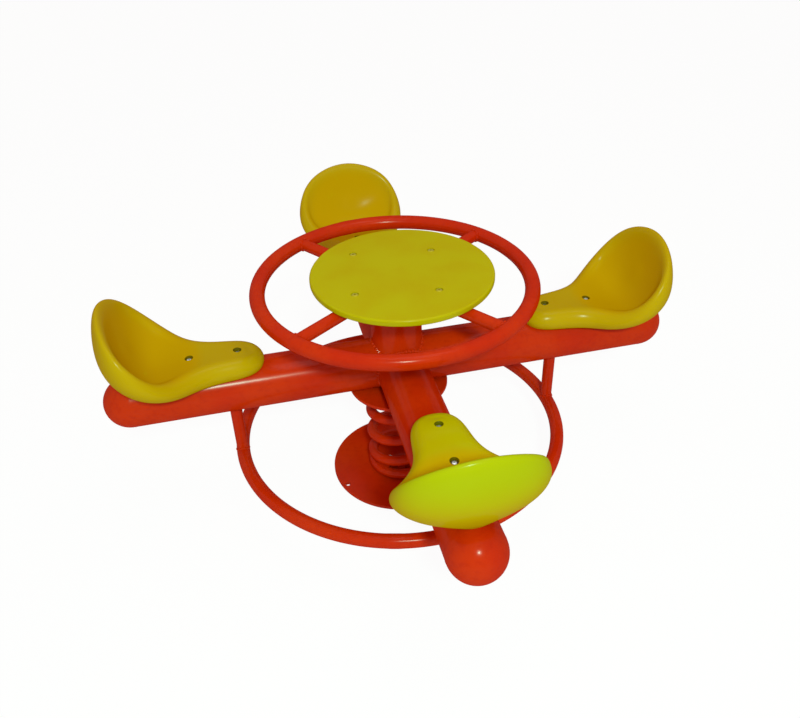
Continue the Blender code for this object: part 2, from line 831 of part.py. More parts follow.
def seat_cage():
    """Half of the seat as a coarse cage, mirrored and then subdivided."""
    cage = bmesh.new()
    origin = Vector((SEAT_BOLT_DISTANCE, 0, BEAM_CROWN))
    rows = []
    for index in range(len(SEAT_CREST)):
        rows.append([cage.verts.new(origin + point) for point in seat_station(index)])
    for near, far in zip(rows, rows[1:]):
        for k in range(len(near) - 1):
            cage.faces.new((near[k], near[k + 1], far[k + 1], far[k]))
    mesh = bpy.data.meshes.new("seat")
    cage.to_mesh(mesh)
    cage.free()
    seat = link(mesh, "seat", MODEL)
    mirror = seat.modifiers.new("other_half", "MIRROR")
    mirror.use_axis = (False, True, False)
    mirror.merge_threshold = 0.00005
    rounding = seat.modifiers.new("rounding", "SUBSURF")
    rounding.levels = SEAT_SUBDIVISIONS
    rounding.render_levels = SEAT_SUBDIVISIONS
    return seat


def make_seat_mesh(beam_x):
    """The seat for the right arm, with its saddle and its two recessed bolt holes."""
    seat = seat_cage()
    cut(seat, beam_x)
    shoulder = BEAM_CROWN + SEAT_FLOOR_UNDER_BOLT
    hole = SEAT_BOLT_RADIUS + BOLT_CLEARANCE
    through = [(d, 0, BEAM_CROWN) for d in seat_bolt_distances()]
    drill(seat, "seat_holes", hole, THROUGH * SEAT_FLOOR_UNDER_BOLT, through)
    recesses = [(d, 0, shoulder + SEAT_RECESS_DRILL / 2) for d in seat_bolt_distances()]
    drill(seat, "seat_recesses", SEAT_RECESS_RADIUS, SEAT_RECESS_DRILL, recesses)
    bpy.context.view_layer.update()
    mesh = evaluated_mesh(seat)
    bpy.data.objects.remove(seat, do_unlink=True)
    smooth(mesh)
    return mesh


def weld_nut_top():
    """Where a nut's corners meet the round inside of the beam's wall."""
    inside = (BEAM_RADIUS - BEAM_WALL) * math.cos(math.pi / TUBE_FACETS)
    return BEAM_Z + math.sqrt(inside**2 - NUT_ACROSS_CORNERS_RADIUS**2) - FACE_GAP


def make_seats(beam_x):
    mesh = make_seat_mesh(beam_x)
    for arm, angle in ARMS.items():
        seat = link(mesh.copy(), arm + "_seat", MODEL)
        seat.rotation_euler = (0, 0, angle)
        finish(seat, arm + "_seat", ROCK_SIDE, "yellow_plastic")
    head_bottom = BEAM_CROWN + SEAT_FLOOR_UNDER_BOLT + FACE_GAP
    nut_top = weld_nut_top()
    shank = head_bottom - nut_top + NUT_HEIGHT + BOLT_THREAD_BEYOND_NUT
    bolt = bolt_mesh("seat_bolt", SEAT_HEAD_RADIUS, SEAT_HEAD_HEIGHT, SEAT_BOLT_RADIUS, shank)
    places = [Matrix.Translation(centre) for centre in seat_bolt_centres(ARMS, head_bottom)]
    ends = [arm + "_" + end for arm in ARMS for end in ("inner", "outer")]
    place_copies([end + "_seat_bolt" for end in ends], bolt, places, ROCK_SIDE, "zinc")
    nut = nut_mesh(SEAT_BOLT_RADIUS)
    places = [Matrix.Translation(centre) for centre in seat_bolt_centres(ARMS, nut_top)]
    place_copies([end + "_weld_nut" for end in ends], nut, places, ROCK_SIDE, "zinc")


def make_rocker():
    beam_x = beam_cutter("beam_space_x", (1, 0, 0))
    beam_y = beam_cutter("beam_space_y", (0, 1, 0))
    post_space = as_cutter(
        bar(
            "post_space",
            BEAM_RADIUS + FACE_GAP,
            HANDLE_Z,
            (0, 0, HANDLE_Z),
            (0, 0, 1),
            TUBE_FACETS,
        )
    )
    make_base_plate()
    make_lower_clamps()
    make_spring()
    make_upper_clamps()
    make_top_plate()
    make_beams(beam_x, beam_y)
    make_end_caps()
    make_handle(post_space)
    make_table()
    make_foot_ring(beam_x, beam_y)
    make_seats(beam_x)


make_rocker()
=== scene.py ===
# %% [markdown]
# # A four-seat spring rocker
# The real thing stands on a playground. A coil spring on a round plate carries a cross of thick steel tube.
# Each arm holds a moulded bucket seat. A post in the middle carries a round table inside a steering-wheel
# shaped handle ring, and a foot ring hangs below.
#
# We could model all of it freely, but the solids of the part already exist, with joints and true sizes.
# So they are loaded first as a fixed frame, and each step takes its places and sizes from them.

import math

import bmesh
import bpy
from mathutils import Matrix, Vector


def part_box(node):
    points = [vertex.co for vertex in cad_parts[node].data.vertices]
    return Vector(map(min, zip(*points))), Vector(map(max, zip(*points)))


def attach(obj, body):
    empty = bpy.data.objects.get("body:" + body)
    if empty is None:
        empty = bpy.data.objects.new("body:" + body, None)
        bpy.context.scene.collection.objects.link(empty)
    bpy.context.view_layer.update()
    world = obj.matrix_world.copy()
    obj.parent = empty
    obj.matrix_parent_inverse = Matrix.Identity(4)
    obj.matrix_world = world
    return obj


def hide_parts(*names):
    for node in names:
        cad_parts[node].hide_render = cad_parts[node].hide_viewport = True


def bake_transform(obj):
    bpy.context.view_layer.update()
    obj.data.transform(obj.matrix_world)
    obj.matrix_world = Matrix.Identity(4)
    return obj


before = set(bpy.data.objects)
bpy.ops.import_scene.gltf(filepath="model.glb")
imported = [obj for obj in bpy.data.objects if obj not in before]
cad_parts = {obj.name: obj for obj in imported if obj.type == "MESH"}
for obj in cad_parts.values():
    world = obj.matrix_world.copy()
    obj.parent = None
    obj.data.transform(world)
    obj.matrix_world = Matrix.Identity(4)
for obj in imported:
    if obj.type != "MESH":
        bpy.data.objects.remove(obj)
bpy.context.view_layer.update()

# %% [markdown]
# ## A few small habits
# Blender's operators act on whatever is selected, and a freshly loaded model is selected all over. So each
# piece starts with nothing selected. A new primitive then gets its name, and its place goes into its mesh,
# so that all coordinates below are true ones, in metres.


# %% Start with nothing selected, and settle a new piece
def start_fresh():
    """Leave edit mode and select nothing."""
    if bpy.context.mode != "OBJECT":
        bpy.ops.object.mode_set(mode="OBJECT")
    bpy.ops.object.select_all(action="DESELECT")


def choose(*pieces):
    """Select these pieces, and make the first one active."""
    start_fresh()
    for piece in pieces:
        piece.select_set(True)
    bpy.context.view_layer.objects.active = pieces[0]


def remove(*pieces):
    """Delete pieces that were only a help."""
    choose(*pieces)
    bpy.ops.object.delete()


def settle(name):
    """Name the new piece and put its place and turn into its mesh."""
    piece = bpy.context.object
    piece.name = name
    piece.data.name = name
    bpy.ops.object.transform_apply(location=True, rotation=True, scale=True)
    return piece


# %% Pick faces and edges by their place
def pick_faces(piece, wanted):
    """Enter edit mode and select the faces whose centre and normal are wanted."""
    choose(piece)
    bpy.ops.object.mode_set(mode="EDIT")
    bpy.ops.mesh.select_mode(type="FACE")
    bpy.ops.mesh.select_all(action="DESELECT")
    mesh = bmesh.from_edit_mesh(piece.data)
    for face in mesh.faces:
        face.select_set(wanted(face.calc_center_median(), face.normal))
    bmesh.update_edit_mesh(piece.data)


def pick_edges(piece, wanted):
    """Enter edit mode and select the edges whose pair of ends is wanted."""
    choose(piece)
    bpy.ops.object.mode_set(mode="EDIT")
    bpy.ops.mesh.select_mode(type="EDGE")
    bpy.ops.mesh.select_all(action="DESELECT")
    mesh = bmesh.from_edit_mesh(piece.data)
    for edge in mesh.edges:
        edge.select_set(wanted(*[vertex.co for vertex in edge.verts]))
    bmesh.update_edit_mesh(piece.data)


# %% Apply a modifier, cut a hole, join, and shade
SMOOTH_ANGLE = math.radians(35)


def add_and_apply(piece, kind, settings):
    """Give the piece one modifier with its settings and apply it."""
    choose(piece)
    modifier = piece.modifiers.new(kind.lower(), kind)
    for name, value in settings.items():
        setattr(modifier, name, value)
    bpy.ops.object.modifier_apply(modifier=modifier.name)


def cut_with(piece, *cutters):
    """Take the cutters' space out of the piece, and remove the cutters."""
    for cutter in cutters:
        add_and_apply(piece, "BOOLEAN", {"operation": "DIFFERENCE", "solver": "EXACT", "object": cutter})
        remove(cutter)


def join(piece, *others):
    """Make the others part of the piece's mesh."""
    choose(piece, *others)
    bpy.ops.object.join()
    return piece


def shade(piece, angle=SMOOTH_ANGLE):
    """Shade the piece smooth, except over edges sharper than the angle."""
    choose(piece)
    bpy.ops.object.shade_smooth_by_angle(angle=angle)


def copy_of(piece, name, matrix):
    """A copy with its own mesh, moved by a matrix that goes into the mesh."""
    choose(piece)
    bpy.ops.object.duplicate(linked=False)
    twin = bpy.context.object
    twin.name = name
    twin.data.name = name
    twin.data.transform(matrix)
    return twin


# %% [markdown]
# ## The camera
# The photograph was taken from in front of the rocker, a little to the left of its middle, looking down at
# 35 degrees. The camera's place and lens were worked out from the level rings and the arms.

# %% Set the camera
CAMERA_PLACE = Vector((-0.3198, -1.4937, 1.4079))
CAMERA_YAW = math.radians(-12.907)
CAMERA_PITCH = math.radians(35.435)
CAMERA_ROLL = math.radians(-1.534)
LENS_MM = 36.56
SHIFT_X = -0.00876
SHIFT_Y = -0.00125

back = Vector(
    (
        math.sin(CAMERA_YAW) * math.cos(CAMERA_PITCH),
        -math.cos(CAMERA_YAW) * math.cos(CAMERA_PITCH),
        math.sin(CAMERA_PITCH),
    )
)
level = Vector((math.cos(CAMERA_YAW), math.sin(CAMERA_YAW), 0.0))
upright = back.cross(level)
right = math.cos(CAMERA_ROLL) * level + math.sin(CAMERA_ROLL) * upright
up = math.cos(CAMERA_ROLL) * upright - math.sin(CAMERA_ROLL) * level

start_fresh()
bpy.ops.object.camera_add(location=CAMERA_PLACE)
camera = bpy.context.object
camera.matrix_world = Matrix.Translation(CAMERA_PLACE) @ Matrix((right, up, back)).transposed().to_4x4()
camera.data.lens = LENS_MM
camera.data.sensor_fit = "HORIZONTAL"
camera.data.shift_x = SHIFT_X
camera.data.shift_y = SHIFT_Y
bpy.context.scene.camera = camera
bpy.context.scene.view_settings.view_transform = "Standard"
print("camera looks down by", round(math.degrees(CAMERA_PITCH), 1), "degrees")

# %% [markdown]
# ## Shader maths in plain Python
# A material is a net of nodes. Writing each Math node by hand hides the idea, so one small class wraps a
# socket: adding or multiplying two of them puts the Math node in. All other nodes come from one method,
# which first sets the node's settings and then fills or links its sockets. The sky has such a net too, so
# the net is a class of its own, and a finish adds the material, its shader and the patterns.


# %% A socket that can be added and multiplied, and the net that makes nodes
class Wire:
    """One output socket in a net."""

    def __init__(self, net, socket):
        self.net = net
        self.socket = socket

    def __add__(self, other):
        return self.net.maths("ADD", self, other)

    def __radd__(self, other):
        return self.net.maths("ADD", other, self)

    def __sub__(self, other):
        return self.net.maths("SUBTRACT", self, other)

    def __rsub__(self, other):
        return self.net.maths("SUBTRACT", other, self)

    def __mul__(self, other):
        return self.net.maths("MULTIPLY", self, other)

    def __rmul__(self, other):
        return self.net.maths("MULTIPLY", other, self)


class Net:
    """The nodes of a material or of the sky."""

    def __init__(self, tree):
        self.tree = tree

    def fill(self, socket, value):
        """Give a socket a number, a colour or a link."""
        if isinstance(value, Wire):
            self.tree.links.new(value.socket, socket)
        else:
            socket.default_value = value

    def node(self, kind, settings, sockets, output=0):
        """Make a node: its settings first, then the values or links of its sockets."""
        made = self.tree.nodes.new(kind)
        for name, value in settings.items():
            setattr(made, name, value)
        for name, value in sockets.items():
            self.fill(made.inputs[name], value)
        return Wire(self, made.outputs[output])

    def maths(self, operation, first, second=0.0):
        """Make a Math node."""
        return self.node("ShaderNodeMath", {"operation": operation}, {0: first, 1: second})


# %% A finish: a material's net, with its shader and patterns
class Finish(Net):
    """A material under construction, with its Principled shader."""

    def __init__(self, name, metallic=0.0, specular=0.5, coat_ior=1.5, coat_roughness=0.05):
        self.material = bpy.data.materials.new(name)
        self.material.use_nodes = True
        super().__init__(self.material.node_tree)
        self.shader = self.tree.nodes["Principled BSDF"]
        self.result = self.tree.nodes["Material Output"].inputs["Surface"]
        self.set("Metallic", metallic)
        self.set("Specular IOR Level", specular)
        self.set("Coat IOR", coat_ior)
        self.set("Coat Roughness", coat_roughness)

    def set(self, socket, value):
        """Fill one of the shader's sockets."""
        self.fill(self.shader.inputs[socket], value)

    def places(self):
        """Where a point is on the piece, in metres."""
        return self.node("ShaderNodeTexCoord", {}, {}, "Object")

    def noise(self, size, detail=2.0, roughness=0.5, stretch=(1.0, 1.0, 1.0)):
        """Cloudy values from 0 to 1, whose blotches are about this many metres across."""
        places = self.node("ShaderNodeMapping", {}, {"Vector": self.places(), "Scale": stretch})
        values = {"Vector": places, "Scale": 1.0 / size, "Detail": detail, "Roughness": roughness}
        return self.node("ShaderNodeTexNoise", {}, values)

    def spots(self, size):
        """The distance to the nearest of many scattered points, in units of their spacing."""
        return self.node("ShaderNodeTexVoronoi", {}, {"Vector": self.places(), "Scale": 1.0 / size})

    def band(self, value, low, high):
        """0 below low, 1 above high, and smooth between."""
        values = {"Value": value, "From Min": low, "From Max": high}
        return self.node("ShaderNodeMapRange", {"interpolation_type": "SMOOTHSTEP"}, values)

    def blend(self, factor, first, second):
        """Mix two colours. A colour mix has its colours on sockets 6 and 7, and its result on output 2."""
        values = {0: factor, 6: first, 7: second}
        return self.node("ShaderNodeMix", {"data_type": "RGBA"}, values, 2)

    def relief(self, height, depth):
        """Bend the light as if the surface rose by depth metres where height is 1."""
        values = {"Height": height, "Strength": 1.0, "Distance": depth}
        self.set("Normal", self.node("ShaderNodeBump", {}, values))


def colour(red, green, blue):
    """A colour as Blender's sockets want it, with its fourth number."""
    return (red, green, blue, 1.0)


# %% [markdown]
# ## Red powder coat
# The tubes are blasted clean and powder coated. Baked powder is glossy but never flat: it has a fine
# orange-peel ripple, and thicker and thinner places shift its red a little. We mix two reds by a large
# noise, darken some specks by a small one, and let a fine noise ripple the surface. The gloss comes from a
# faint clear coat over a matt red. Its high refractive index keeps the grazing edges dark, and smudges
# weaken it. The yellow plastic below gets the same kind of gloss.

# %% The red's tones
RED = colour(0.480, 0.0160, 0.0008)
DEEP_RED = colour(0.390, 0.0110, 0.0008)
ORANGE_RED = colour(0.520, 0.0250, 0.0010)
GLOSS = {"specular": 0.0, "coat_ior": 2.4, "coat_roughness": 0.20}
PATCH_SIZE = 0.16
PATCHES = (0.35, 0.65)
SPECK_SIZE = 0.012
SPECKS = (0.45, 0.75)
SPECK_SHARE = 0.35

red_coat = Finish("red_powder_coat", **GLOSS)
thick = red_coat.band(red_coat.noise(PATCH_SIZE, detail=3.0), *PATCHES)
specks = red_coat.band(red_coat.noise(SPECK_SIZE, detail=4.0), *SPECKS)
reds = red_coat.blend(thick, RED, ORANGE_RED)
red_coat.set("Base Color", red_coat.blend(specks * SPECK_SHARE, reds, DEEP_RED))
print("red's patches and specks, mm:", 1000 * PATCH_SIZE, 1000 * SPECK_SIZE)

# %% The red's gloss and ripple
MATT_ROUGHNESS = 0.40
RED_GLOSS = 0.046
SMUDGE_SIZE = 0.05
SMUDGES = (0.45, 0.80)
SMUDGES_ROUGHEN = 0.14
SMUDGES_DULL = 0.016
PEEL_SIZE = 0.0022
FINE_PEEL_SIZE = 0.0007
FINE_PEEL_SHARE = 0.35
PEEL_DEPTH = 0.00006

smudges = red_coat.band(red_coat.noise(SMUDGE_SIZE, detail=6.0, roughness=0.65), *SMUDGES)
red_coat.set("Roughness", MATT_ROUGHNESS + smudges * SMUDGES_ROUGHEN)
red_coat.set("Coat Weight", RED_GLOSS - smudges * SMUDGES_DULL)
fine_peel = red_coat.noise(FINE_PEEL_SIZE, detail=1.0)
peel = red_coat.noise(PEEL_SIZE, detail=1.0) + FINE_PEEL_SHARE * fine_peel
red_coat.relief(peel, PEEL_DEPTH)

# %% [markdown]
# ## Where on a seat a place is
# The four seats are alike, so their places can be folded onto one seat: the larger of the two level
# distances from the middle runs out along the arm, and the smaller runs sideways from it. The dishes get
# a painted shade, painted shadow darkens the recesses round the sunken bolts, and two more painted tones
# depend on the place. Three of the seats and the lower part of every back get a painted shade of gold, and
# the upper part of the front seat's back gets a painted light of lime.

# %% Fold the four seats onto one
SEAT_BOLT_DISTANCE = 0.354
SEAT_BOLT_SPACING = 0.103
SEAT_BOLTS = {"inner": SEAT_BOLT_DISTANCE, "outer": SEAT_BOLT_DISTANCE + SEAT_BOLT_SPACING}
SEAT_RECESS_RADIUS = 0.0085


def folded_places(finish):
    """A place's distance out along its arm, sideways from it, and its height."""
    place = finish.places()
    x, y, height = [finish.node("ShaderNodeSeparateXYZ", {}, {0: place}, axis) for axis in range(3)]
    x, y = finish.maths("ABSOLUTE", x), finish.maths("ABSOLUTE", y)
    return finish.maths("MAXIMUM", x, y), finish.maths("MINIMUM", x, y), height


# %% How far a place is into a dish or a bolt's recess
DISH_CENTRE = (0.515, 0.0, 0.480)
DISH_REACH = (0.105, 0.125, 0.105)
DISH_EDGE = (0.75, 1.25)
RECESS_EDGE = (SEAT_RECESS_RADIUS + 0.0001, SEAT_RECESS_RADIUS + 0.0013)


def in_a_dish(finish):
    """1 in the middle of any of the four dishes, falling to 0 at their rims."""
    total = 0.0
    for size, centre, reach in zip(folded_places(finish), DISH_CENTRE, DISH_REACH):
        step = (size - centre) * (1.0 / reach)
        total = step * step + total
    return 1.0 - finish.band(total, *DISH_EDGE)


def in_a_recess(finish):
    """1 in the recess of any seat bolt, and 0 on the seat round it."""
    along, across, _ = folded_places(finish)
    nearest = 1.0
    for distance in SEAT_BOLTS.values():
        step = along - distance
        nearest = finish.maths("MINIMUM", step * step + across * across, nearest)
    return 1.0 - finish.band(nearest, *[radius**2 for radius in RECESS_EDGE])


# %% Where the yellow gets painted shade, and where it gets painted light
SEATS_FROM = (0.24, 0.26)
FRONT_SEAT_TO = (-0.26, -0.24)
BACK_FROM = (0.46, 0.54)
BACK_HEIGHTS = (0.42, 0.53)


def painted_shade_and_light(finish):
    """Two masks: painted shade on three seats and the low part of every back, painted light on the front
    back's top.
    """
    y = finish.node("ShaderNodeSeparateXYZ", {}, {0: finish.places()}, 1)
    along, _, height = folded_places(finish)
    not_front = finish.band(y, *FRONT_SEAT_TO)
    backs = finish.band(along, *BACK_FROM)
    upper = finish.band(height, *BACK_HEIGHTS)
    # Painted shade: three of the seats, and the low part of every back.
    painted_shade = finish.maths("MAXIMUM", finish.band(along, *SEATS_FROM) * not_front, backs * (1.0 - upper))
    # Painted light: the upper part of the front seat's back.
    return painted_shade, backs * upper * (1.0 - not_front)


# %% [markdown]
# ## Yellow moulded plastic
# The seats and the table are polyethylene, coloured all through. The mould leaves a fine pebbled skin, so
# the highlight is soft, and its colour comes out a little cloudy. Use leaves shallow scuffs that run in
# short strokes and hold a little dust. We stretch a noise into strokes for the scuffs, use scattered points
# for the pebbled skin, and lay one yellow over another where the masks above say so.

# %% The plastic's colours
YELLOW = colour(0.440, 0.358, 0.0004)
GOLD = colour(0.435, 0.322, 0.0004)
# A painted shade of gold for three seats and the low backs, and a painted light of lime for the front back.
PAINTED_SHADE_YELLOW = colour(0.450, 0.255, 0.0004)
PAINTED_LIGHT_LIME = colour(0.350, 0.370, 0.0004)
# Painted shade in the seats' dishes, a deeper gold.
PAINTED_DISH_SHADE = colour(0.500, 0.265, 0.0004)
DUSTY_YELLOW = colour(0.460, 0.390, 0.0040)
# Painted shadow in the recesses round the seat bolts.
PAINTED_RECESS_SHADOW = colour(0.050, 0.036, 0.0020)
CLOUD_SIZE = 0.11
CLOUDS = (0.35, 0.70)
STROKE_SIZE = 0.02
STROKE_STRETCH = (1.0, 0.16, 0.4)
SCUFFS = (0.62, 0.78)
PLACE_SHARE = 0.8
DUST_SHARE = 0.30
RECESS_SHADOW_SHARE = 0.70

yellow_plastic = Finish("yellow_moulded_plastic", **GLOSS)
clouds = yellow_plastic.band(yellow_plastic.noise(CLOUD_SIZE, detail=3.0), *CLOUDS)
painted_shade, painted_light = painted_shade_and_light(yellow_plastic)
dish = in_a_dish(yellow_plastic)
strokes = yellow_plastic.noise(STROKE_SIZE, detail=5.0, roughness=0.7, stretch=STROKE_STRETCH)
scuffs = yellow_plastic.band(strokes, *SCUFFS)

yellows = YELLOW
layers = (
    (clouds, GOLD),
    # Painted shade, then painted light.
    (painted_shade * PLACE_SHARE, PAINTED_SHADE_YELLOW),
    (painted_light * PLACE_SHARE, PAINTED_LIGHT_LIME),
    # Painted shade in the dishes.
    (dish * PLACE_SHARE, PAINTED_DISH_SHADE),
    (scuffs * DUST_SHARE, DUSTY_YELLOW),
    # Painted shadow in the bolts' recesses.
    (in_a_recess(yellow_plastic) * RECESS_SHADOW_SHARE, PAINTED_RECESS_SHADOW),
)
for share, tone in layers:
    yellows = yellow_plastic.blend(share, yellows, tone)
yellow_plastic.set("Base Color", yellows)
print("layers of yellow:", len(layers))

# %% The plastic's gloss and skin
CLOUDS_ROUGHEN = 0.06
SCUFFS_ROUGHEN = 0.18
PLASTIC_GLOSS = 0.036
CLOUDS_DULL = 0.008
SCUFFS_DULL = 0.012
DISH_DULLS = 0.8
PEBBLE_SIZE = 0.0016
DIMPLE_SIZE = 0.006
DIMPLE_SHARE = 0.5
SCUFFS_FLATTEN = 0.4
SKIN_DEPTH = 0.00005

yellow_plastic.set("Roughness", MATT_ROUGHNESS + clouds * CLOUDS_ROUGHEN + scuffs * SCUFFS_ROUGHEN)
gloss = PLASTIC_GLOSS - clouds * CLOUDS_DULL - scuffs * SCUFFS_DULL
yellow_plastic.set("Coat Weight", gloss * (1.0 - dish * DISH_DULLS))
dimples = yellow_plastic.noise(DIMPLE_SIZE, detail=2.0)
skin = yellow_plastic.spots(PEBBLE_SIZE) + DIMPLE_SHARE * dimples
yellow_plastic.relief(skin - scuffs * SCUFFS_FLATTEN, SKIN_DEPTH)

# %% [markdown]
# ## Zinc on the bolts and nuts
# Plated steel is a metal, so its colour is the colour of its reflection. Zinc has a faint blotched
# crystal pattern and dulls with handling. The table's bolts hardly show in the photograph. Zinc with a
# yellow passivation would look so, and as a guess they get the same net with warmer colours.

# %% Make the two zinc platings
BRIGHT_ZINC = colour(0.66, 0.66, 0.64)
DULL_ZINC = colour(0.46, 0.46, 0.45)
YELLOW_ZINC = colour(0.45, 0.38, 0.030)
BROWN_ZINC = colour(0.37, 0.29, 0.015)
BRIGHT_ROUGHNESS = 0.24
YELLOW_ROUGHNESS = 0.32
CRYSTAL_SIZE = 0.0035
CRYSTALS = (0.20, 0.75)
CRYSTAL_SHARE = 0.5
HANDLING_SIZE = 0.004
HANDLING_ROUGHENS = 0.20
GRAIN_SIZE = 0.0015
GRAIN_DEPTH = 0.00003


def plated(name, bright, dull, roughness):
    """A plating of two blotched tones."""
    plating = Finish(name, metallic=1.0)
    crystals = plating.band(plating.spots(CRYSTAL_SIZE), *CRYSTALS)
    plating.set("Base Color", plating.blend(crystals * CRYSTAL_SHARE, bright, dull))
    handled = plating.noise(HANDLING_SIZE, detail=4.0)
    plating.set("Roughness", roughness + HANDLING_ROUGHENS * handled)
    plating.relief(plating.noise(GRAIN_SIZE, detail=3.0), GRAIN_DEPTH)
    return plating


zinc = plated("zinc_plating", BRIGHT_ZINC, DULL_ZINC, BRIGHT_ROUGHNESS)
yellow_zinc = plated("yellow_passivated_zinc", YELLOW_ZINC, BROWN_ZINC, YELLOW_ROUGHNESS)

FINISHES = {"red_paint": red_coat, "yellow_plastic": yellow_plastic, "zinc": zinc}
print("finishes:", [finish.material.name for finish in FINISHES.values()])


# %% Hang a piece on its body, with its finish and the solids that it stands for
def hang(piece, body, slot, *nodes):
    """Finish a piece: its material, picked by the record's slot name, its body, and hiding the solids that
    it replaces.
    """
    piece.data.materials.clear()
    piece.data.materials.append(FINISHES[slot].material)
    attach(piece, body)
    if nodes:
        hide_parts(*nodes)
    low = [round(1000 * min(v.co[axis] for v in piece.data.vertices)) for axis in range(3)]
    high = [round(1000 * max(v.co[axis] for v in piece.data.vertices)) for axis in range(3)]
    print(piece.name, "from", low, "to", high, "mm, faces:", len(piece.data.polygons))


# %% [markdown]
# ## Round plates
# The base plate is cut steel with four holes for ground anchors, one of which shows in the photograph. The
# plate on top of the spring is cut the same way. A cylinder is a good start: its two faces get a narrow
# inset, which keeps them flat when the rim is rounded, and the rim's edges get a small bevel.

# %% A round plate with rounded rims
INSET_SHARE = 1.3
FACING = 0.9


def add_plate(name, node, bevel, segments=4, facets=144):
    """A disc on the box of a solid, its faces inset and its two rims bevelled."""
    low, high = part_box(node)
    centre = (low + high) / 2
    radius = (high.x - low.x) / 2
    inset = INSET_SHARE * bevel
    start_fresh()
    bpy.ops.mesh.primitive_cylinder_add(
        vertices=facets, radius=radius, depth=high.z - low.z, location=centre
    )
    plate = settle(name)
    pick_faces(plate, lambda place, normal: abs(normal.z) > FACING)
    bpy.ops.mesh.inset(thickness=inset)

    def on_a_rim(first, second):
        reach = min((end - centre).to_2d().length for end in (first, second))
        return reach > radius - inset / 2 and abs(first.z - second.z) < bevel

    pick_edges(plate, on_a_rim)
    bpy.ops.mesh.bevel(offset=bevel, segments=segments, profile=0.5, affect="EDGES")
    start_fresh()
    return plate


# %% A drill for round holes
DRILL_FACETS = 40


def add_drill(radius, centre, length):
    """A cylinder for cutting a round hole."""
    start_fresh()
    bpy.ops.mesh.primitive_cylinder_add(
        vertices=DRILL_FACETS, radius=radius, depth=length, location=centre
    )
    return settle("drill")


# %% Base plate with its anchor holes
PLATE_BEVEL = 0.0015
PLATE_DRILL_LENGTH = 0.05
ANCHOR_COUNT = 4
ANCHOR_RADIUS = 0.006
ANCHOR_EDGE_DISTANCE = 0.013
ANCHOR_FIRST_ANGLE = math.radians(200)


def polar(radius, angle, height=0.0):
    """The place at a distance and angle from the upright axis."""
    return Vector((radius * math.cos(angle), radius * math.sin(angle), height))


base_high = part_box("base_plate")[1]
base_plate = add_plate("ground_plate", "base_plate", PLATE_BEVEL)
anchor_circle = base_high.x - ANCHOR_EDGE_DISTANCE
for k in range(ANCHOR_COUNT):
    place = polar(anchor_circle, ANCHOR_FIRST_ANGLE + k * math.tau / ANCHOR_COUNT, base_high.z / 2)
    cut_with(base_plate, add_drill(ANCHOR_RADIUS, place, PLATE_DRILL_LENGTH))
shade(base_plate)
hang(base_plate, "base", "red_paint", "base_plate")

# %% Plate on top of the spring
top_plate = add_plate("spring_plate", "spring_top_plate", PLATE_BEVEL)
shade(top_plate)

# %% [markdown]
# ## A bead of weld, and the coil spring
# Both are a round section that follows a line. We take a circle of points, turn it into a curve, put each
# point in its place, and give the curve a round bevel. For a weld the section swells and shrinks a little
# from point to point, because a welder lays it drop by drop.


# %% A round bar along a line of places
def add_bar(name, places, radius, closed, roundness, swell=None):
    """A bar of round section through the places, as a mesh."""
    start_fresh()
    bpy.ops.mesh.primitive_circle_add(vertices=len(places), radius=radius)
    bpy.ops.object.convert(target="CURVE")
    line = bpy.context.object
    spline = line.data.splines[0]
    spline.use_cyclic_u = closed
    for k, (point, place) in enumerate(zip(spline.points, places)):
        point.co = (*place, 1.0)
        point.radius = 1.0 if swell is None else swell(k)
    line.data.dimensions = "3D"
    line.data.bevel_depth = radius
    line.data.bevel_resolution = roundness
    line.data.use_fill_caps = not closed
    bpy.ops.object.convert(target="MESH")
    return settle(name)


# %% A bead of weld
WELD_STEP = 0.0011
WELD_ROUNDNESS = 2
DROP_STEPS = 8
DROP_SWELL = 0.28
WANDER = 0.06
WANDER_TURN = 0.7
MEASURES = 64


def add_weld(line, radius, closed=True):
    """A rippled bead along line(share), where share runs from 0 to 1."""
    rough = [line(k / MEASURES) for k in range(MEASURES + 1)]
    length = sum((b - a).length for a, b in zip(rough, rough[1:]))
    count = DROP_STEPS * max(2, round(length / (DROP_STEPS * WELD_STEP)))
    last = count if closed else count - 1
    places = [line(k / last) for k in range(count)]

    def swell(k):
        drop = DROP_SWELL * math.cos(math.tau * k / DROP_STEPS)
        return 1.0 + drop + WANDER * math.sin(WANDER_TURN * k)

    return add_bar("weld", places, radius, closed, WELD_ROUNDNESS, swell)


# %% [markdown]
# The spring is wound from 24 mm wire: its first and last half turn lie flat on the plates, then it climbs
# steadily. It bends when the rocker rocks. The wire is made in two halves that meet at the spring's middle.

# %% The spring's line
SPRING_MEAN_RADIUS = 0.068
WIRE_RADIUS = 0.012
ACTIVE_TURNS = 3.44
SEATED_TURN = 0.48
RAMP_TURN = 0.25
SPRING_START_ANGLE = math.radians(154)
TOTAL_TURNS = 2 * (SEATED_TURN + RAMP_TURN) + ACTIVE_TURNS - RAMP_TURN

spring_low, spring_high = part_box("coil_spring")
wire_climb = spring_high.z - spring_low.z - 2 * WIRE_RADIUS
pitch = wire_climb / ACTIVE_TURNS


def wire_rise(turn):
    """How far the wire has climbed after so many turns."""
    ramp_end = SEATED_TURN + RAMP_TURN
    if turn <= SEATED_TURN:
        return 0.0
    if turn <= ramp_end:
        return pitch * (turn - SEATED_TURN) ** 2 / (2 * RAMP_TURN)
    if turn <= ramp_end + ACTIVE_TURNS - RAMP_TURN:
        return pitch * (RAMP_TURN / 2 + turn - ramp_end)
    return wire_climb - wire_rise(TOTAL_TURNS - turn)


def wire_place(turn):
    """The middle of the wire after so many turns."""
    height = spring_low.z + WIRE_RADIUS + wire_rise(turn)
    return polar(SPRING_MEAN_RADIUS, SPRING_START_ANGLE + math.tau * turn, height)


print("spring pitch, mm:", round(1000 * pitch, 1), "turns:", TOTAL_TURNS)

# %% Coil spring in two halves
WIRE_STEPS = 168
WIRE_ROUNDNESS = 12
WIRE_SMOOTH_ANGLE = math.radians(50)

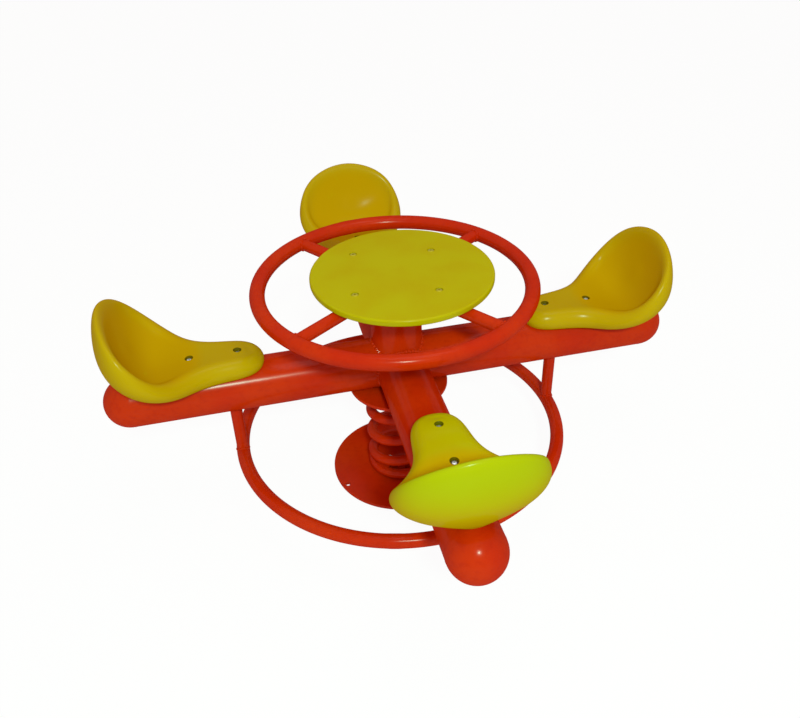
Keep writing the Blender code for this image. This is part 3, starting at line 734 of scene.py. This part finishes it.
halves = {"lower_coils": (0.0, TOTAL_TURNS / 2), "upper_coils": (TOTAL_TURNS / 2, TOTAL_TURNS)}
coils = {}
for name, (first, last) in halves.items():
    turns = [first + (last - first) * k / (WIRE_STEPS - 1) for k in range(WIRE_STEPS)]
    wire = add_bar(name, [wire_place(turn) for turn in turns], WIRE_RADIUS, False, WIRE_ROUNDNESS)
    shade(wire, WIRE_SMOOTH_ANGLE)
    wire.data.materials.append(red_coat.material)
    coils[name] = wire
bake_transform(coils["lower_coils"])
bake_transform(coils["upper_coils"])
for wire in coils.values():
    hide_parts("coil_spring")
    print(wire.name, "faces:", len(wire.data.polygons))

# %% [markdown]
# ## The cross of tube
# One long tube runs from left to right. A half tube is welded to its front and one to its back, and the
# post stands on the crossing. All four ends are closed by a pressed dome. We could cut each tube to fit its
# neighbour, but the cut edges lie under the weld. So the tubes simply run into each other, and each joint
# gets its bead of weld along the line where the two surfaces meet.

# %% Sizes of the cross, and a tube
beam_low, beam_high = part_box("cross_beam")
BEAM_Z = (beam_low.z + beam_high.z) / 2
BEAM_RADIUS = (beam_high.z - beam_low.z) / 2
ARM_END = beam_high.x
CAP_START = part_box("right_end_cap")[0].x
POST_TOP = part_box("centre_post")[1].z
PLATE_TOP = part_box("spring_top_plate")[1].z
TUBE_FACETS = 112
WELD_RADIUS = 0.0042
ARMS = {"right": 0.0, "rear": math.pi / 2, "left": math.pi, "front": -math.pi / 2}
print("tube radius, mm:", round(1000 * BEAM_RADIUS, 1), "axis height, mm:", round(1000 * BEAM_Z, 1))


def add_tube(name, start, end, radius, facets):
    """A round tube whose axis runs from start to end."""
    run = Vector(end) - Vector(start)
    start_fresh()
    bpy.ops.mesh.primitive_cylinder_add(
        vertices=facets,
        radius=radius,
        depth=run.length,
        location=(Vector(start) + Vector(end)) / 2,
        rotation=run.to_track_quat("Z", "Y").to_euler(),
    )
    return settle(name)


def turned_to(angle):
    """A turn about the upright axis."""
    return Matrix.Rotation(angle, 4, "Z")


# %% A seam near a tube's end
SEAM_WIDTH = 0.006
SEAM_RISE = 0.00035
SAME_PLACE = 0.0002


def ring_seam(tube, angle, distance):
    """Raise the ground-flat weld round the tube's end by a hair."""
    direction = polar(1.0, angle)
    for far, rise in ((SEAM_WIDTH, 0.0), (SEAM_WIDTH / 2, SEAM_RISE)):
        cut = direction * (distance - far)
        choose(tube)
        bpy.ops.object.mode_set(mode="EDIT")
        bpy.ops.mesh.select_all(action="SELECT")
        bpy.ops.mesh.bisect(plane_co=cut, plane_no=direction)
        if rise:
            bpy.ops.object.mode_set(mode="OBJECT")
            pick_edges(tube, lambda *ends: all(abs((end - cut).dot(direction)) < SAME_PLACE for end in ends))
            size = 1.0 + rise / BEAM_RADIUS
            middle = cut + Vector((0, 0, BEAM_Z))
            bpy.ops.transform.resize(value=(size, size, size), center_override=middle)
    start_fresh()


# %% The long tube and the two half tubes
long_tube = add_tube("long_tube", (-ARM_END, 0, BEAM_Z), (ARM_END, 0, BEAM_Z), BEAM_RADIUS, TUBE_FACETS)
for side in ("left", "right"):
    ring_seam(long_tube, ARMS[side], ARM_END)
shade(long_tube)
half_tubes = {}
for side in ("front", "rear"):
    tube = add_tube(
        side + "_half_tube", (0, 0, BEAM_Z), polar(ARM_END, ARMS[side], BEAM_Z), BEAM_RADIUS, TUBE_FACETS
    )
    ring_seam(tube, ARMS[side], ARM_END)
    shade(tube)
    half_tubes[side] = tube


# %% Welds where the half tubes meet the long tube
def crossing_line(sign):
    """The line where a half tube meets the long tube, in front (-1) or behind (1)."""

    def line(share):
        turn = math.tau * share
        reach = BEAM_RADIUS * math.cos(turn)
        return Vector((reach, sign * abs(reach), BEAM_Z + BEAM_RADIUS * math.sin(turn)))

    return line


for side, sign in (("front", -1), ("rear", 1)):
    join(half_tubes[side], add_weld(crossing_line(sign), WELD_RADIUS))
    hang(half_tubes[side], "top_frame", "red_paint", side + "_arm")

# %% Stitch welds between the cross and the plate below it
STITCH_REACH = (0.066, 0.103)
STITCH_SIDE = 0.0185
STITCH_Z = PLATE_TOP + 0.0022

stitches = []
for angle in ARMS.values():
    for side in (-STITCH_SIDE, STITCH_SIDE):
        start, end = [turned_to(angle) @ Vector((out, side, STITCH_Z)) for out in STITCH_REACH]
        stitches.append(add_weld(lambda share, a=start, b=end: a.lerp(b, share), WELD_RADIUS, False))
join(top_plate, *stitches)
hang(top_plate, "top_frame", "red_paint", "spring_top_plate")
hang(long_tube, "top_frame", "red_paint", "cross_beam")


# %% Domed ends
CAP_OVERLAP = 0.0003


def add_dome(name, angle):
    """Half a ball on the end of an arm: a ball with its pole outwards, cut in half and closed."""
    centre = polar(CAP_START - CAP_OVERLAP, angle, BEAM_Z)
    turn = Vector((0, 0, 1)).rotation_difference(polar(1.0, angle)).to_euler()
    start_fresh()
    bpy.ops.mesh.primitive_uv_sphere_add(
        segments=TUBE_FACETS, ring_count=TUBE_FACETS // 2, radius=BEAM_RADIUS, location=centre, rotation=turn
    )
    dome = settle(name)
    bpy.ops.object.mode_set(mode="EDIT")
    bpy.ops.mesh.select_all(action="SELECT")
    bpy.ops.mesh.bisect(plane_co=centre, plane_no=polar(1.0, angle), clear_inner=True, use_fill=True)
    start_fresh()
    shade(dome)
    return dome


for side, angle in ARMS.items():
    hang(add_dome(side + "_dome", angle), "top_frame", "red_paint", side + "_end_cap")


# %% The post, with its weld on the crossing
def post_line(share):
    """The line where the post meets the crossing tubes."""
    turn = math.tau * share
    height = BEAM_RADIUS * max(abs(math.cos(turn)), abs(math.sin(turn)))
    return polar(BEAM_RADIUS, turn, BEAM_Z + height)


post = add_tube("post_tube", (0, 0, BEAM_Z), (0, 0, POST_TOP), BEAM_RADIUS, TUBE_FACETS)
shade(post)
join(post, add_weld(post_line, WELD_RADIUS))

# %% [markdown]
# ## Handle ring and spokes
# The ring is tube rolled into a circle and welded shut. A torus is the start. Where its ends were joined,
# one narrow band is fattened a little and shows the ground weld. Four straight spokes tie it to the post.

# %% A rolled ring
RING_SEGMENTS = 240
RING_SIDES = 32
RING_SMOOTH_ANGLE = math.radians(60)
SEAM_REACH = 1.2
SEAM_SWELL = 0.0004


def add_ring(name, node, seam_angle):
    """A rolled ring on the box of a solid, with the weld where its ends meet."""
    low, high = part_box(node)
    tube_radius = (high.z - low.z) / 2
    radius = high.x - tube_radius
    height = (high.z + low.z) / 2
    start_fresh()
    bpy.ops.mesh.primitive_torus_add(
        major_radius=radius,
        minor_radius=tube_radius,
        major_segments=RING_SEGMENTS,
        minor_segments=RING_SIDES,
        location=(0, 0, height),
    )
    ring = settle(name)
    seam = polar(radius, seam_angle, height)

    def on_the_seam(place, normal):
        turn = math.remainder(math.atan2(place.y, place.x) - seam_angle, math.tau)
        return (place - seam).length < SEAM_REACH * tube_radius and abs(turn) < math.tau / RING_SEGMENTS

    pick_faces(ring, on_the_seam)
    bpy.ops.transform.shrink_fatten(value=SEAM_SWELL)
    start_fresh()
    shade(ring, RING_SMOOTH_ANGLE)
    return ring, radius, tube_radius, height


# %% Handle ring
HANDLE_SEAM_ANGLE = math.radians(100)

handle_ring, RING_RADIUS, RING_TUBE, RING_Z = add_ring("grip_ring", "handle_ring", HANDLE_SEAM_ANGLE)
hang(handle_ring, "top_frame", "red_paint", "handle_ring")

# %% Lines where a spoke meets the post and the ring
SPOKE_RADIUS = 0.0135
SPOKE_FIRST_ANGLE = math.radians(35.5)
SPOKES = ("rear_right", "rear_left", "front_left", "front_right")
SPOKE_ANGLES = [SPOKE_FIRST_ANGLE + k * math.pi / 2 for k in range(len(SPOKES))]
SMALL_TUBE_FACETS = 40
SMALL_WELD = 0.0026


def spoke_foot(share):
    """Where a spoke along +X meets the post."""
    turn = math.tau * share
    side = SPOKE_RADIUS * math.cos(turn)
    return Vector((math.sqrt(BEAM_RADIUS**2 - side**2), side, RING_Z + SPOKE_RADIUS * math.sin(turn)))


def spoke_head(share):
    """Where a spoke along +X meets the inside of the handle ring."""
    turn = math.tau * share
    side = SPOKE_RADIUS * math.cos(turn)
    rise = SPOKE_RADIUS * math.sin(turn)
    reach = RING_RADIUS - math.sqrt(RING_TUBE**2 - rise**2)
    return Vector((math.sqrt(reach**2 - side**2), side, RING_Z + rise))


# %% Spokes from the post to the handle ring
first_spoke = add_tube(
    "spoke", (BEAM_RADIUS / 2, 0, RING_Z), (RING_RADIUS, 0, RING_Z), SPOKE_RADIUS, SMALL_TUBE_FACETS
)
shade(first_spoke)
join(first_spoke, add_weld(spoke_foot, SMALL_WELD), add_weld(spoke_head, SMALL_WELD))
for side, angle in zip(SPOKES, SPOKE_ANGLES):
    spoke = copy_of(first_spoke, side + "_wheel_spoke", turned_to(angle))
    hang(spoke, "top_frame", "red_paint", side + "_spoke")
remove(first_spoke)
hang(post, "top_frame", "red_paint", "centre_post")

# %% [markdown]
# ## Foot ring and struts
# The feet rest on a second ring below the arms. It is made as the handle ring was, and four short struts
# drop to it from the arms.

# %% Foot ring
FOOT_SEAM_ANGLE = math.radians(255)

foot_ring, FOOT_RADIUS, FOOT_TUBE, FOOT_Z = add_ring("step_ring", "foot_ring", FOOT_SEAM_ANGLE)
hang(foot_ring, "top_frame", "red_paint", "foot_ring")

# %% Lines where a strut meets the arm and the ring
STRUT_RADIUS = 0.0135
STRUT_TOP_SHARE = 0.8


def strut_head(share):
    """Where a strut below the arm along +X meets the arm."""
    turn = math.tau * share
    side = STRUT_RADIUS * math.sin(turn)
    drop = math.sqrt(BEAM_RADIUS**2 - side**2)
    return Vector((FOOT_RADIUS + STRUT_RADIUS * math.cos(turn), side, BEAM_Z - drop))


def strut_foot(share):
    """Where that strut meets the top of the foot ring."""
    turn = math.tau * share
    out = STRUT_RADIUS * math.cos(turn)
    side = STRUT_RADIUS * math.sin(turn)
    from_ring = math.hypot(FOOT_RADIUS + out, side) - FOOT_RADIUS
    rise = math.sqrt(max(FOOT_TUBE**2 - from_ring**2, 0.0))
    return Vector((FOOT_RADIUS + out, side, FOOT_Z + rise))


# %% Struts
strut_top = BEAM_Z - STRUT_TOP_SHARE * BEAM_RADIUS
first_strut = add_tube(
    "strut", (FOOT_RADIUS, 0, FOOT_Z), (FOOT_RADIUS, 0, strut_top), STRUT_RADIUS, SMALL_TUBE_FACETS
)
shade(first_strut)
join(first_strut, add_weld(strut_head, SMALL_WELD), add_weld(strut_foot, SMALL_WELD))
for side, angle in ARMS.items():
    strut = copy_of(first_strut, side + "_step_strut", turned_to(angle))
    hang(strut, "top_frame", "red_paint", side + "_foot_strut")
remove(first_strut)

# %% [markdown]
# ## Table
# A round disc of moulded plastic with soft edges lies on the spokes. It is made as the steel plates are,
# with a wider bevel. Four shallow recesses take the heads of its bolts.

# %% Table disc
TABLE_BEVEL = 0.0045
TABLE_BOLT_CIRCLE = 0.123
TABLE_RECESS_RADIUS = 0.0085
TABLE_RECESS_DEPTH = 0.0032

table = add_plate("table_disc", "table_top", TABLE_BEVEL, segments=8, facets=192)
table_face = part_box("table_top")[1].z
for angle in SPOKE_ANGLES:
    centre = polar(TABLE_BOLT_CIRCLE, angle, table_face)
    cut_with(table, add_drill(TABLE_RECESS_RADIUS, centre, 2 * TABLE_RECESS_DEPTH))
shade(table)
hang(table, "top_frame", "yellow_plastic", "table_top")

# %% [markdown]
# ## Bolts
# Round-headed bolts with a hexagon socket hold the table and the seats. A cylinder is the head; its top
# face is inset and lifted four times, which makes the dome, and a six-sided cutter leaves the socket.


# %% A button-headed bolt
SHANK_RADIUS = 0.004
BOLT_FACETS = 48
HEAD_EDGE_SHARE = 0.35
HEAD_LIFTS = ((0.08, 0.26), (0.14, 0.20), (0.20, 0.13), (0.12, 0.04))
SOCKET_RADIUS_SHARE = 0.40
SOCKET_DEPTH_SHARE = 0.62
FLAT_MARGIN = 0.00005


def add_bolt(head_radius, head_height, shank_length):
    """A bolt at the origin: domed head above a straight shank."""
    top = HEAD_EDGE_SHARE * head_height
    start_fresh()
    bpy.ops.mesh.primitive_cylinder_add(
        vertices=BOLT_FACETS, radius=head_radius, depth=top, location=(0, 0, top / 2)
    )
    bolt = settle("bolt")
    for inwards, upwards in HEAD_LIFTS:
        pick_faces(bolt, lambda place, normal: place.z > top - FLAT_MARGIN and normal.z > FACING)
        bpy.ops.mesh.inset(thickness=inwards * head_radius)
        bpy.ops.transform.translate(value=(0, 0, upwards * head_height))
        top += upwards * head_height
    pick_faces(bolt, lambda place, normal: normal.z < -FACING)
    bpy.ops.mesh.inset(thickness=head_radius - SHANK_RADIUS)
    bpy.ops.mesh.extrude_region_move(TRANSFORM_OT_translate={"value": (0, 0, -shank_length)})
    start_fresh()
    bpy.ops.mesh.primitive_cylinder_add(
        vertices=6,
        radius=SOCKET_RADIUS_SHARE * head_radius,
        depth=2 * SOCKET_DEPTH_SHARE * head_height,
        location=(0, 0, head_height),
    )
    cut_with(bolt, settle("socket"))
    shade(bolt)
    return bolt


# %% Bolts of the table
TABLE_HEAD_HEIGHT = 0.0026

table_bolt_low, table_bolt_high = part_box("rear_right_table_bolt")
table_head_radius = (table_bolt_high.x - table_bolt_low.x) / 2
table_head_z = table_bolt_high.z - TABLE_HEAD_HEIGHT
table_bolt = add_bolt(table_head_radius, TABLE_HEAD_HEIGHT, table_head_z - table_bolt_low.z)
for side, angle in zip(SPOKES, SPOKE_ANGLES):
    place = polar(TABLE_BOLT_CIRCLE, angle, table_head_z)
    bolt = copy_of(table_bolt, side + "_disc_bolt", Matrix.Translation(place))
    hang(bolt, "top_frame", "zinc", side + "_table_bolt")
    bolt.data.materials[0] = yellow_zinc.material
remove(table_bolt)

# %% [markdown]
# ## Bucket seats
# A seat is one hollow moulding: a tongue along the arm, wide wings, a high curved back and a fat rolled rim
# all round. It could be sculpted, but a cage keeps it measurable. A grid has one row of points for each
# station from the tongue's tip to the back. In each row the points run from the underside, round the
# outside, over the rim and down to the seat's floor, and the same on the other side. The rows' places were
# measured on the photograph, out and sideways from the inner bolt and up from the tube's crown. The cage is
# then merged where its sides meet and subdivided.

# %% Seat cage: stations from the tongue's tip to the back, as (out, sideways, up)
SEAT_CREST = (
    (-0.044, 0.000, 0.028), (-0.037, 0.029, 0.030), (-0.008, 0.043, 0.034), (0.041, 0.046, 0.036),
    (0.091, 0.061, 0.036), (0.131, 0.096, 0.037), (0.168, 0.127, 0.060), (0.213, 0.136, 0.110),
    (0.256, 0.103, 0.163), (0.276, 0.000, 0.1954),
)
SEAT_LOWER = (
    (-0.049, 0.000, -0.010), (-0.042, 0.031, -0.012), (-0.009, 0.045, -0.016), (0.041, 0.048, -0.017),
    (0.089, 0.060, -0.017), (0.128, 0.084, -0.014), (0.160, 0.098, -0.006), (0.195, 0.098, 0.000),
    (0.232, 0.070, 0.006), (0.250, 0.000, 0.012),
)
SEAT_FLOOR = (
    (-0.010, 0.034), (-0.005, 0.034), (0.008, 0.035), (0.044, 0.035), (0.096, 0.033),
    (0.136, 0.026), (0.166, 0.023), (0.190, 0.029), (0.212, 0.054), (0.230, 0.098),
)
SEAT_UNDERSIDE = (
    (-0.034, -0.018), (-0.024, -0.021), (0.002, -0.022), (0.044, -0.022), (0.096, -0.022),
    (0.136, -0.022), (0.166, -0.022), (0.196, -0.022), (0.226, -0.018), (0.240, -0.010),
)
CROWN = BEAM_Z + BEAM_RADIUS
STATIONS = len(SEAT_CREST)
print("stations:", STATIONS, "tube's crown, mm:", round(1000 * CROWN, 1))

# %% The section at a station
RIM_OUT = 0.015
RIM_IN = 0.018
WALL_IN = 0.0235
RIM_DROP = 0.4
LIP_DROP = 0.12
WALL_DROP = 0.42
DISH_SHARE = 0.3
BELLY_SHARE = 0.16


def outward(index):
    """Level direction square to the rim at a station."""
    if index == 0:
        return Vector((-1.0, 0.0, 0.0))
    if index == STATIONS - 1:
        return Vector((1.0, 0.0, 0.0))
    along = Vector(SEAT_CREST[index + 1]) - Vector(SEAT_CREST[index - 1])
    return Vector((-along.y, along.x, 0.0)).normalized()


def station(index):
    """One side of the seat's section, from the middle of its underside round to its floor."""
    crest = Vector(SEAT_CREST[index])
    lower = Vector(SEAT_LOWER[index])
    floor = Vector((SEAT_FLOOR[index][0], 0.0, SEAT_FLOOR[index][1]))
    underside = Vector((SEAT_UNDERSIDE[index][0], 0.0, SEAT_UNDERSIDE[index][1]))
    out = outward(index)
    outer = crest + RIM_OUT * out
    outer.z = crest.z - RIM_DROP * (crest.z - lower.z)
    belly = (lower + outer) / 2 + BELLY_SHARE * (outer.z - lower.z) * out
    lip = crest - RIM_IN * out
    lip.z = crest.z - LIP_DROP * (crest.z - floor.z)
    wall = crest - WALL_IN * out
    wall.z = crest.z - WALL_DROP * (crest.z - floor.z)
    dish = (wall + floor) / 2
    dish.z = floor.z + DISH_SHARE * (wall.z - floor.z)
    section = [underside, lower, belly, outer, crest, lip, wall, dish, floor]
    if index in (0, STATIONS - 1):
        for point in section:
            point.y = 0.0
    return section


# %% Move the grid's points to the stations
SAME_POINT = 0.00005


def add_seat_cage():
    """The seat's coarse cage, on the arm along +X."""
    start_fresh()
    across = 2 * len(station(0)) - 1
    bpy.ops.mesh.primitive_grid_add(x_subdivisions=STATIONS - 1, y_subdivisions=across - 1, size=1)
    cage = settle("seat")
    rows = sorted({round(v.co.x, 4) for v in cage.data.vertices})
    columns = sorted({round(v.co.y, 4) for v in cage.data.vertices})
    origin = Vector((SEAT_BOLT_DISTANCE, 0.0, CROWN))
    for vertex in cage.data.vertices:
        index = rows.index(round(vertex.co.x, 4))
        column = columns.index(round(vertex.co.y, 4))
        point = station(index)[min(column, across - 1 - column)].copy()
        if column > across // 2:
            point.y = -point.y
        vertex.co = origin + point
    choose(cage)
    bpy.ops.object.mode_set(mode="EDIT")
    bpy.ops.mesh.select_all(action="SELECT")
    bpy.ops.mesh.remove_doubles(threshold=SAME_POINT)
    bpy.ops.mesh.normals_make_consistent(inside=False)
    start_fresh()
    return cage


# %% Subdivide the cage
SEAT_LEVELS = 4

seat = add_seat_cage()
add_and_apply(seat, "SUBSURF", {"levels": SEAT_LEVELS, "render_levels": SEAT_LEVELS})
print("seat faces:", len(seat.data.polygons))

# %% Cut the saddle for the tube and the two recessed bolt holes
SADDLE_CLEARANCE = 0.0003
SADDLE_LENGTH = 1.0
SEAT_HOLE_RADIUS = 0.0043
SEAT_HOLE_LENGTH = 0.1
SEAT_RECESS_LENGTH = 0.03
HEAD_UNDER = CROWN + 0.024
SEAT_SMOOTH_ANGLE = math.radians(40)

saddle = add_tube(
    "saddle", (0, 0, BEAM_Z), (SADDLE_LENGTH, 0, BEAM_Z), BEAM_RADIUS + SADDLE_CLEARANCE, TUBE_FACETS
)
cutters = [saddle]
for distance in SEAT_BOLTS.values():
    recess = (distance, 0, HEAD_UNDER + SEAT_RECESS_LENGTH / 2)
    cutters.append(add_drill(SEAT_HOLE_RADIUS, (distance, 0, CROWN), SEAT_HOLE_LENGTH))
    cutters.append(add_drill(SEAT_RECESS_RADIUS, recess, SEAT_RECESS_LENGTH))
cut_with(seat, *cutters)
shade(seat, SEAT_SMOOTH_ANGLE)
print("seat faces after the cuts:", len(seat.data.polygons))

# %% Set a seat and its two bolts on each arm
seat_bolt_low, seat_bolt_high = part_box("right_inner_seat_bolt")
seat_head_radius = (seat_bolt_high.x - seat_bolt_low.x) / 2
seat_bolt = add_bolt(seat_head_radius, seat_bolt_high.z - HEAD_UNDER, HEAD_UNDER - seat_bolt_low.z)
for side, angle in ARMS.items():
    bucket = copy_of(seat, side + "_bucket_seat", turned_to(angle))
    hang(bucket, "top_frame", "yellow_plastic", side + "_seat")
    for end, distance in SEAT_BOLTS.items():
        place = Matrix.Translation(polar(distance, angle, HEAD_UNDER))
        bolt = copy_of(seat_bolt, f"{side}_{end}_button_bolt", place)
        hang(bolt, "top_frame", "zinc", f"{side}_{end}_seat_bolt")
remove(seat, seat_bolt)

# %% [markdown]
# ## Hidden hardware
# The clamps inside the spring, their bolts and the nuts have the right shape already, so their solids stay
# and only take their finish: the clamps are coated as the plates are, and the bolts and nuts are zinc.

# %% Give the solids that stay their finish
kept = [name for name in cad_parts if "clamp" in name or name.endswith("nut")]
for name in kept:
    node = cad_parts[name]
    finish = red_coat if name.endswith(("clamp_left", "clamp_right")) else zinc
    node.data.materials.clear()
    node.data.materials.append(finish.material)
print("solids that stay in sight:", len(kept))

# %% [markdown]
# ## Floor, sky and lamps
# The rocker stands on a plain pale floor. The photograph was lit from beside the camera, which puts a small
# bright spot wherever a tube faces us, while light from all round fills the rest. We use a small lamp near
# the camera, a weak wide one above, and an even sky. The photograph is warm in its shade and a little green
# where the lamp strikes, so the sky is tinted warm and the lamp green. The background is white by itself:
# where the camera sees the floor or the sky directly, most of what it sees is a plain white.

# %% Floor
FLOOR_RADIUS = 40.0
FLOOR_FACETS = 96
FLOOR_DROP = 0.0005
FLOOR_BLOTCH = 1.2
DUSTY = colour(0.88, 0.88, 0.88)
CLEAN = colour(0.90, 0.90, 0.90)

start_fresh()
bpy.ops.mesh.primitive_circle_add(
    vertices=FLOOR_FACETS, radius=FLOOR_RADIUS, fill_type="NGON", location=(0, 0, -FLOOR_DROP)
)
floor = settle("pale_floor")
floor_finish = Finish("pale_floor", specular=0.0)
floor_finish.set("Base Color", floor_finish.blend(floor_finish.noise(FLOOR_BLOTCH), DUSTY, CLEAN))

# %% White where it is seen directly
WHITE = colour(1.0, 1.0, 1.0)
FLOOR_WHITE = 0.95


def seen_directly(net):
    """1 for rays from the camera, and for those that a mirror or glass passes on."""
    kinds = ("Is Camera Ray", "Is Glossy Ray", "Is Transmission Ray")
    camera_ray, glossy_ray, passed_ray = [net.node("ShaderNodeLightPath", {}, {}, kind) for kind in kinds]
    return net.maths("MINIMUM", camera_ray + glossy_ray + passed_ray, 1.0)


white = floor_finish.node("ShaderNodeEmission", {}, {"Color": WHITE, "Strength": 1.0})
lit = Wire(floor_finish, floor_finish.shader.outputs[0])
share = seen_directly(floor_finish) * FLOOR_WHITE
mixed = floor_finish.node("ShaderNodeMixShader", {}, {0: share, 1: lit, 2: white})
floor_finish.fill(floor_finish.result, mixed)
floor.data.materials.append(floor_finish.material)

# %% Sky
SKY_LEVEL = 0.55
SKY_TINT = colour(1.0, 0.76, 0.66)

world = bpy.data.worlds.new("studio_sky")
world.use_nodes = True
bpy.context.scene.world = world
sky = Net(world.node_tree)
dim = sky.node("ShaderNodeBackground", {}, {"Color": SKY_TINT, "Strength": SKY_LEVEL})
bright = sky.node("ShaderNodeBackground", {}, {"Color": WHITE, "Strength": 1.0})
both = sky.node("ShaderNodeMixShader", {}, {0: seen_directly(sky), 1: dim, 2: bright})
sky.fill(sky.tree.nodes["World Output"].inputs["Surface"], both)
print("sky level:", SKY_LEVEL)

# %% Lamps
AIM = Vector((0.0, 0.0, 0.35))
FLASH_DISTANCE = 3.6
FLASH_X = -0.28
FLASH_LIFT = 0.35
FLASH_SIZE = 0.36
FLASH_LEVEL = 0.82
FLASH_TINT = (0.58, 1.0, 0.76)
TOP_LAMP_PLACE = (0.3, -0.4, 3.2)
TOP_LAMP_SIZE = 1.6
TOP_LAMP_LEVEL = 0.16


def add_lamp(name, place, size, level, tint=(1.0, 1.0, 1.0)):
    """An area lamp that lights a white surface at the aim to this level."""
    run = Vector(place) - AIM
    start_fresh()
    bpy.ops.object.light_add(type="AREA", location=place, rotation=run.to_track_quat("Z", "Y").to_euler())
    lamp = bpy.context.object
    lamp.name = name
    lamp.data.shape = "DISK"
    lamp.data.size = size
    lamp.data.color = tint
    lamp.data.energy = level * math.pi**2 * run.length_squared
    print(name, "stands", round(run.length, 2), "m away, watts:", round(lamp.data.energy))


flash_place = AIM + FLASH_DISTANCE * (CAMERA_PLACE - AIM).normalized()
flash_place.x = FLASH_X
flash_place.z += FLASH_LIFT
add_lamp("lamp_by_the_camera", flash_place, FLASH_SIZE, FLASH_LEVEL, FLASH_TINT)
add_lamp("lamp_above", TOP_LAMP_PLACE, TOP_LAMP_SIZE, TOP_LAMP_LEVEL)
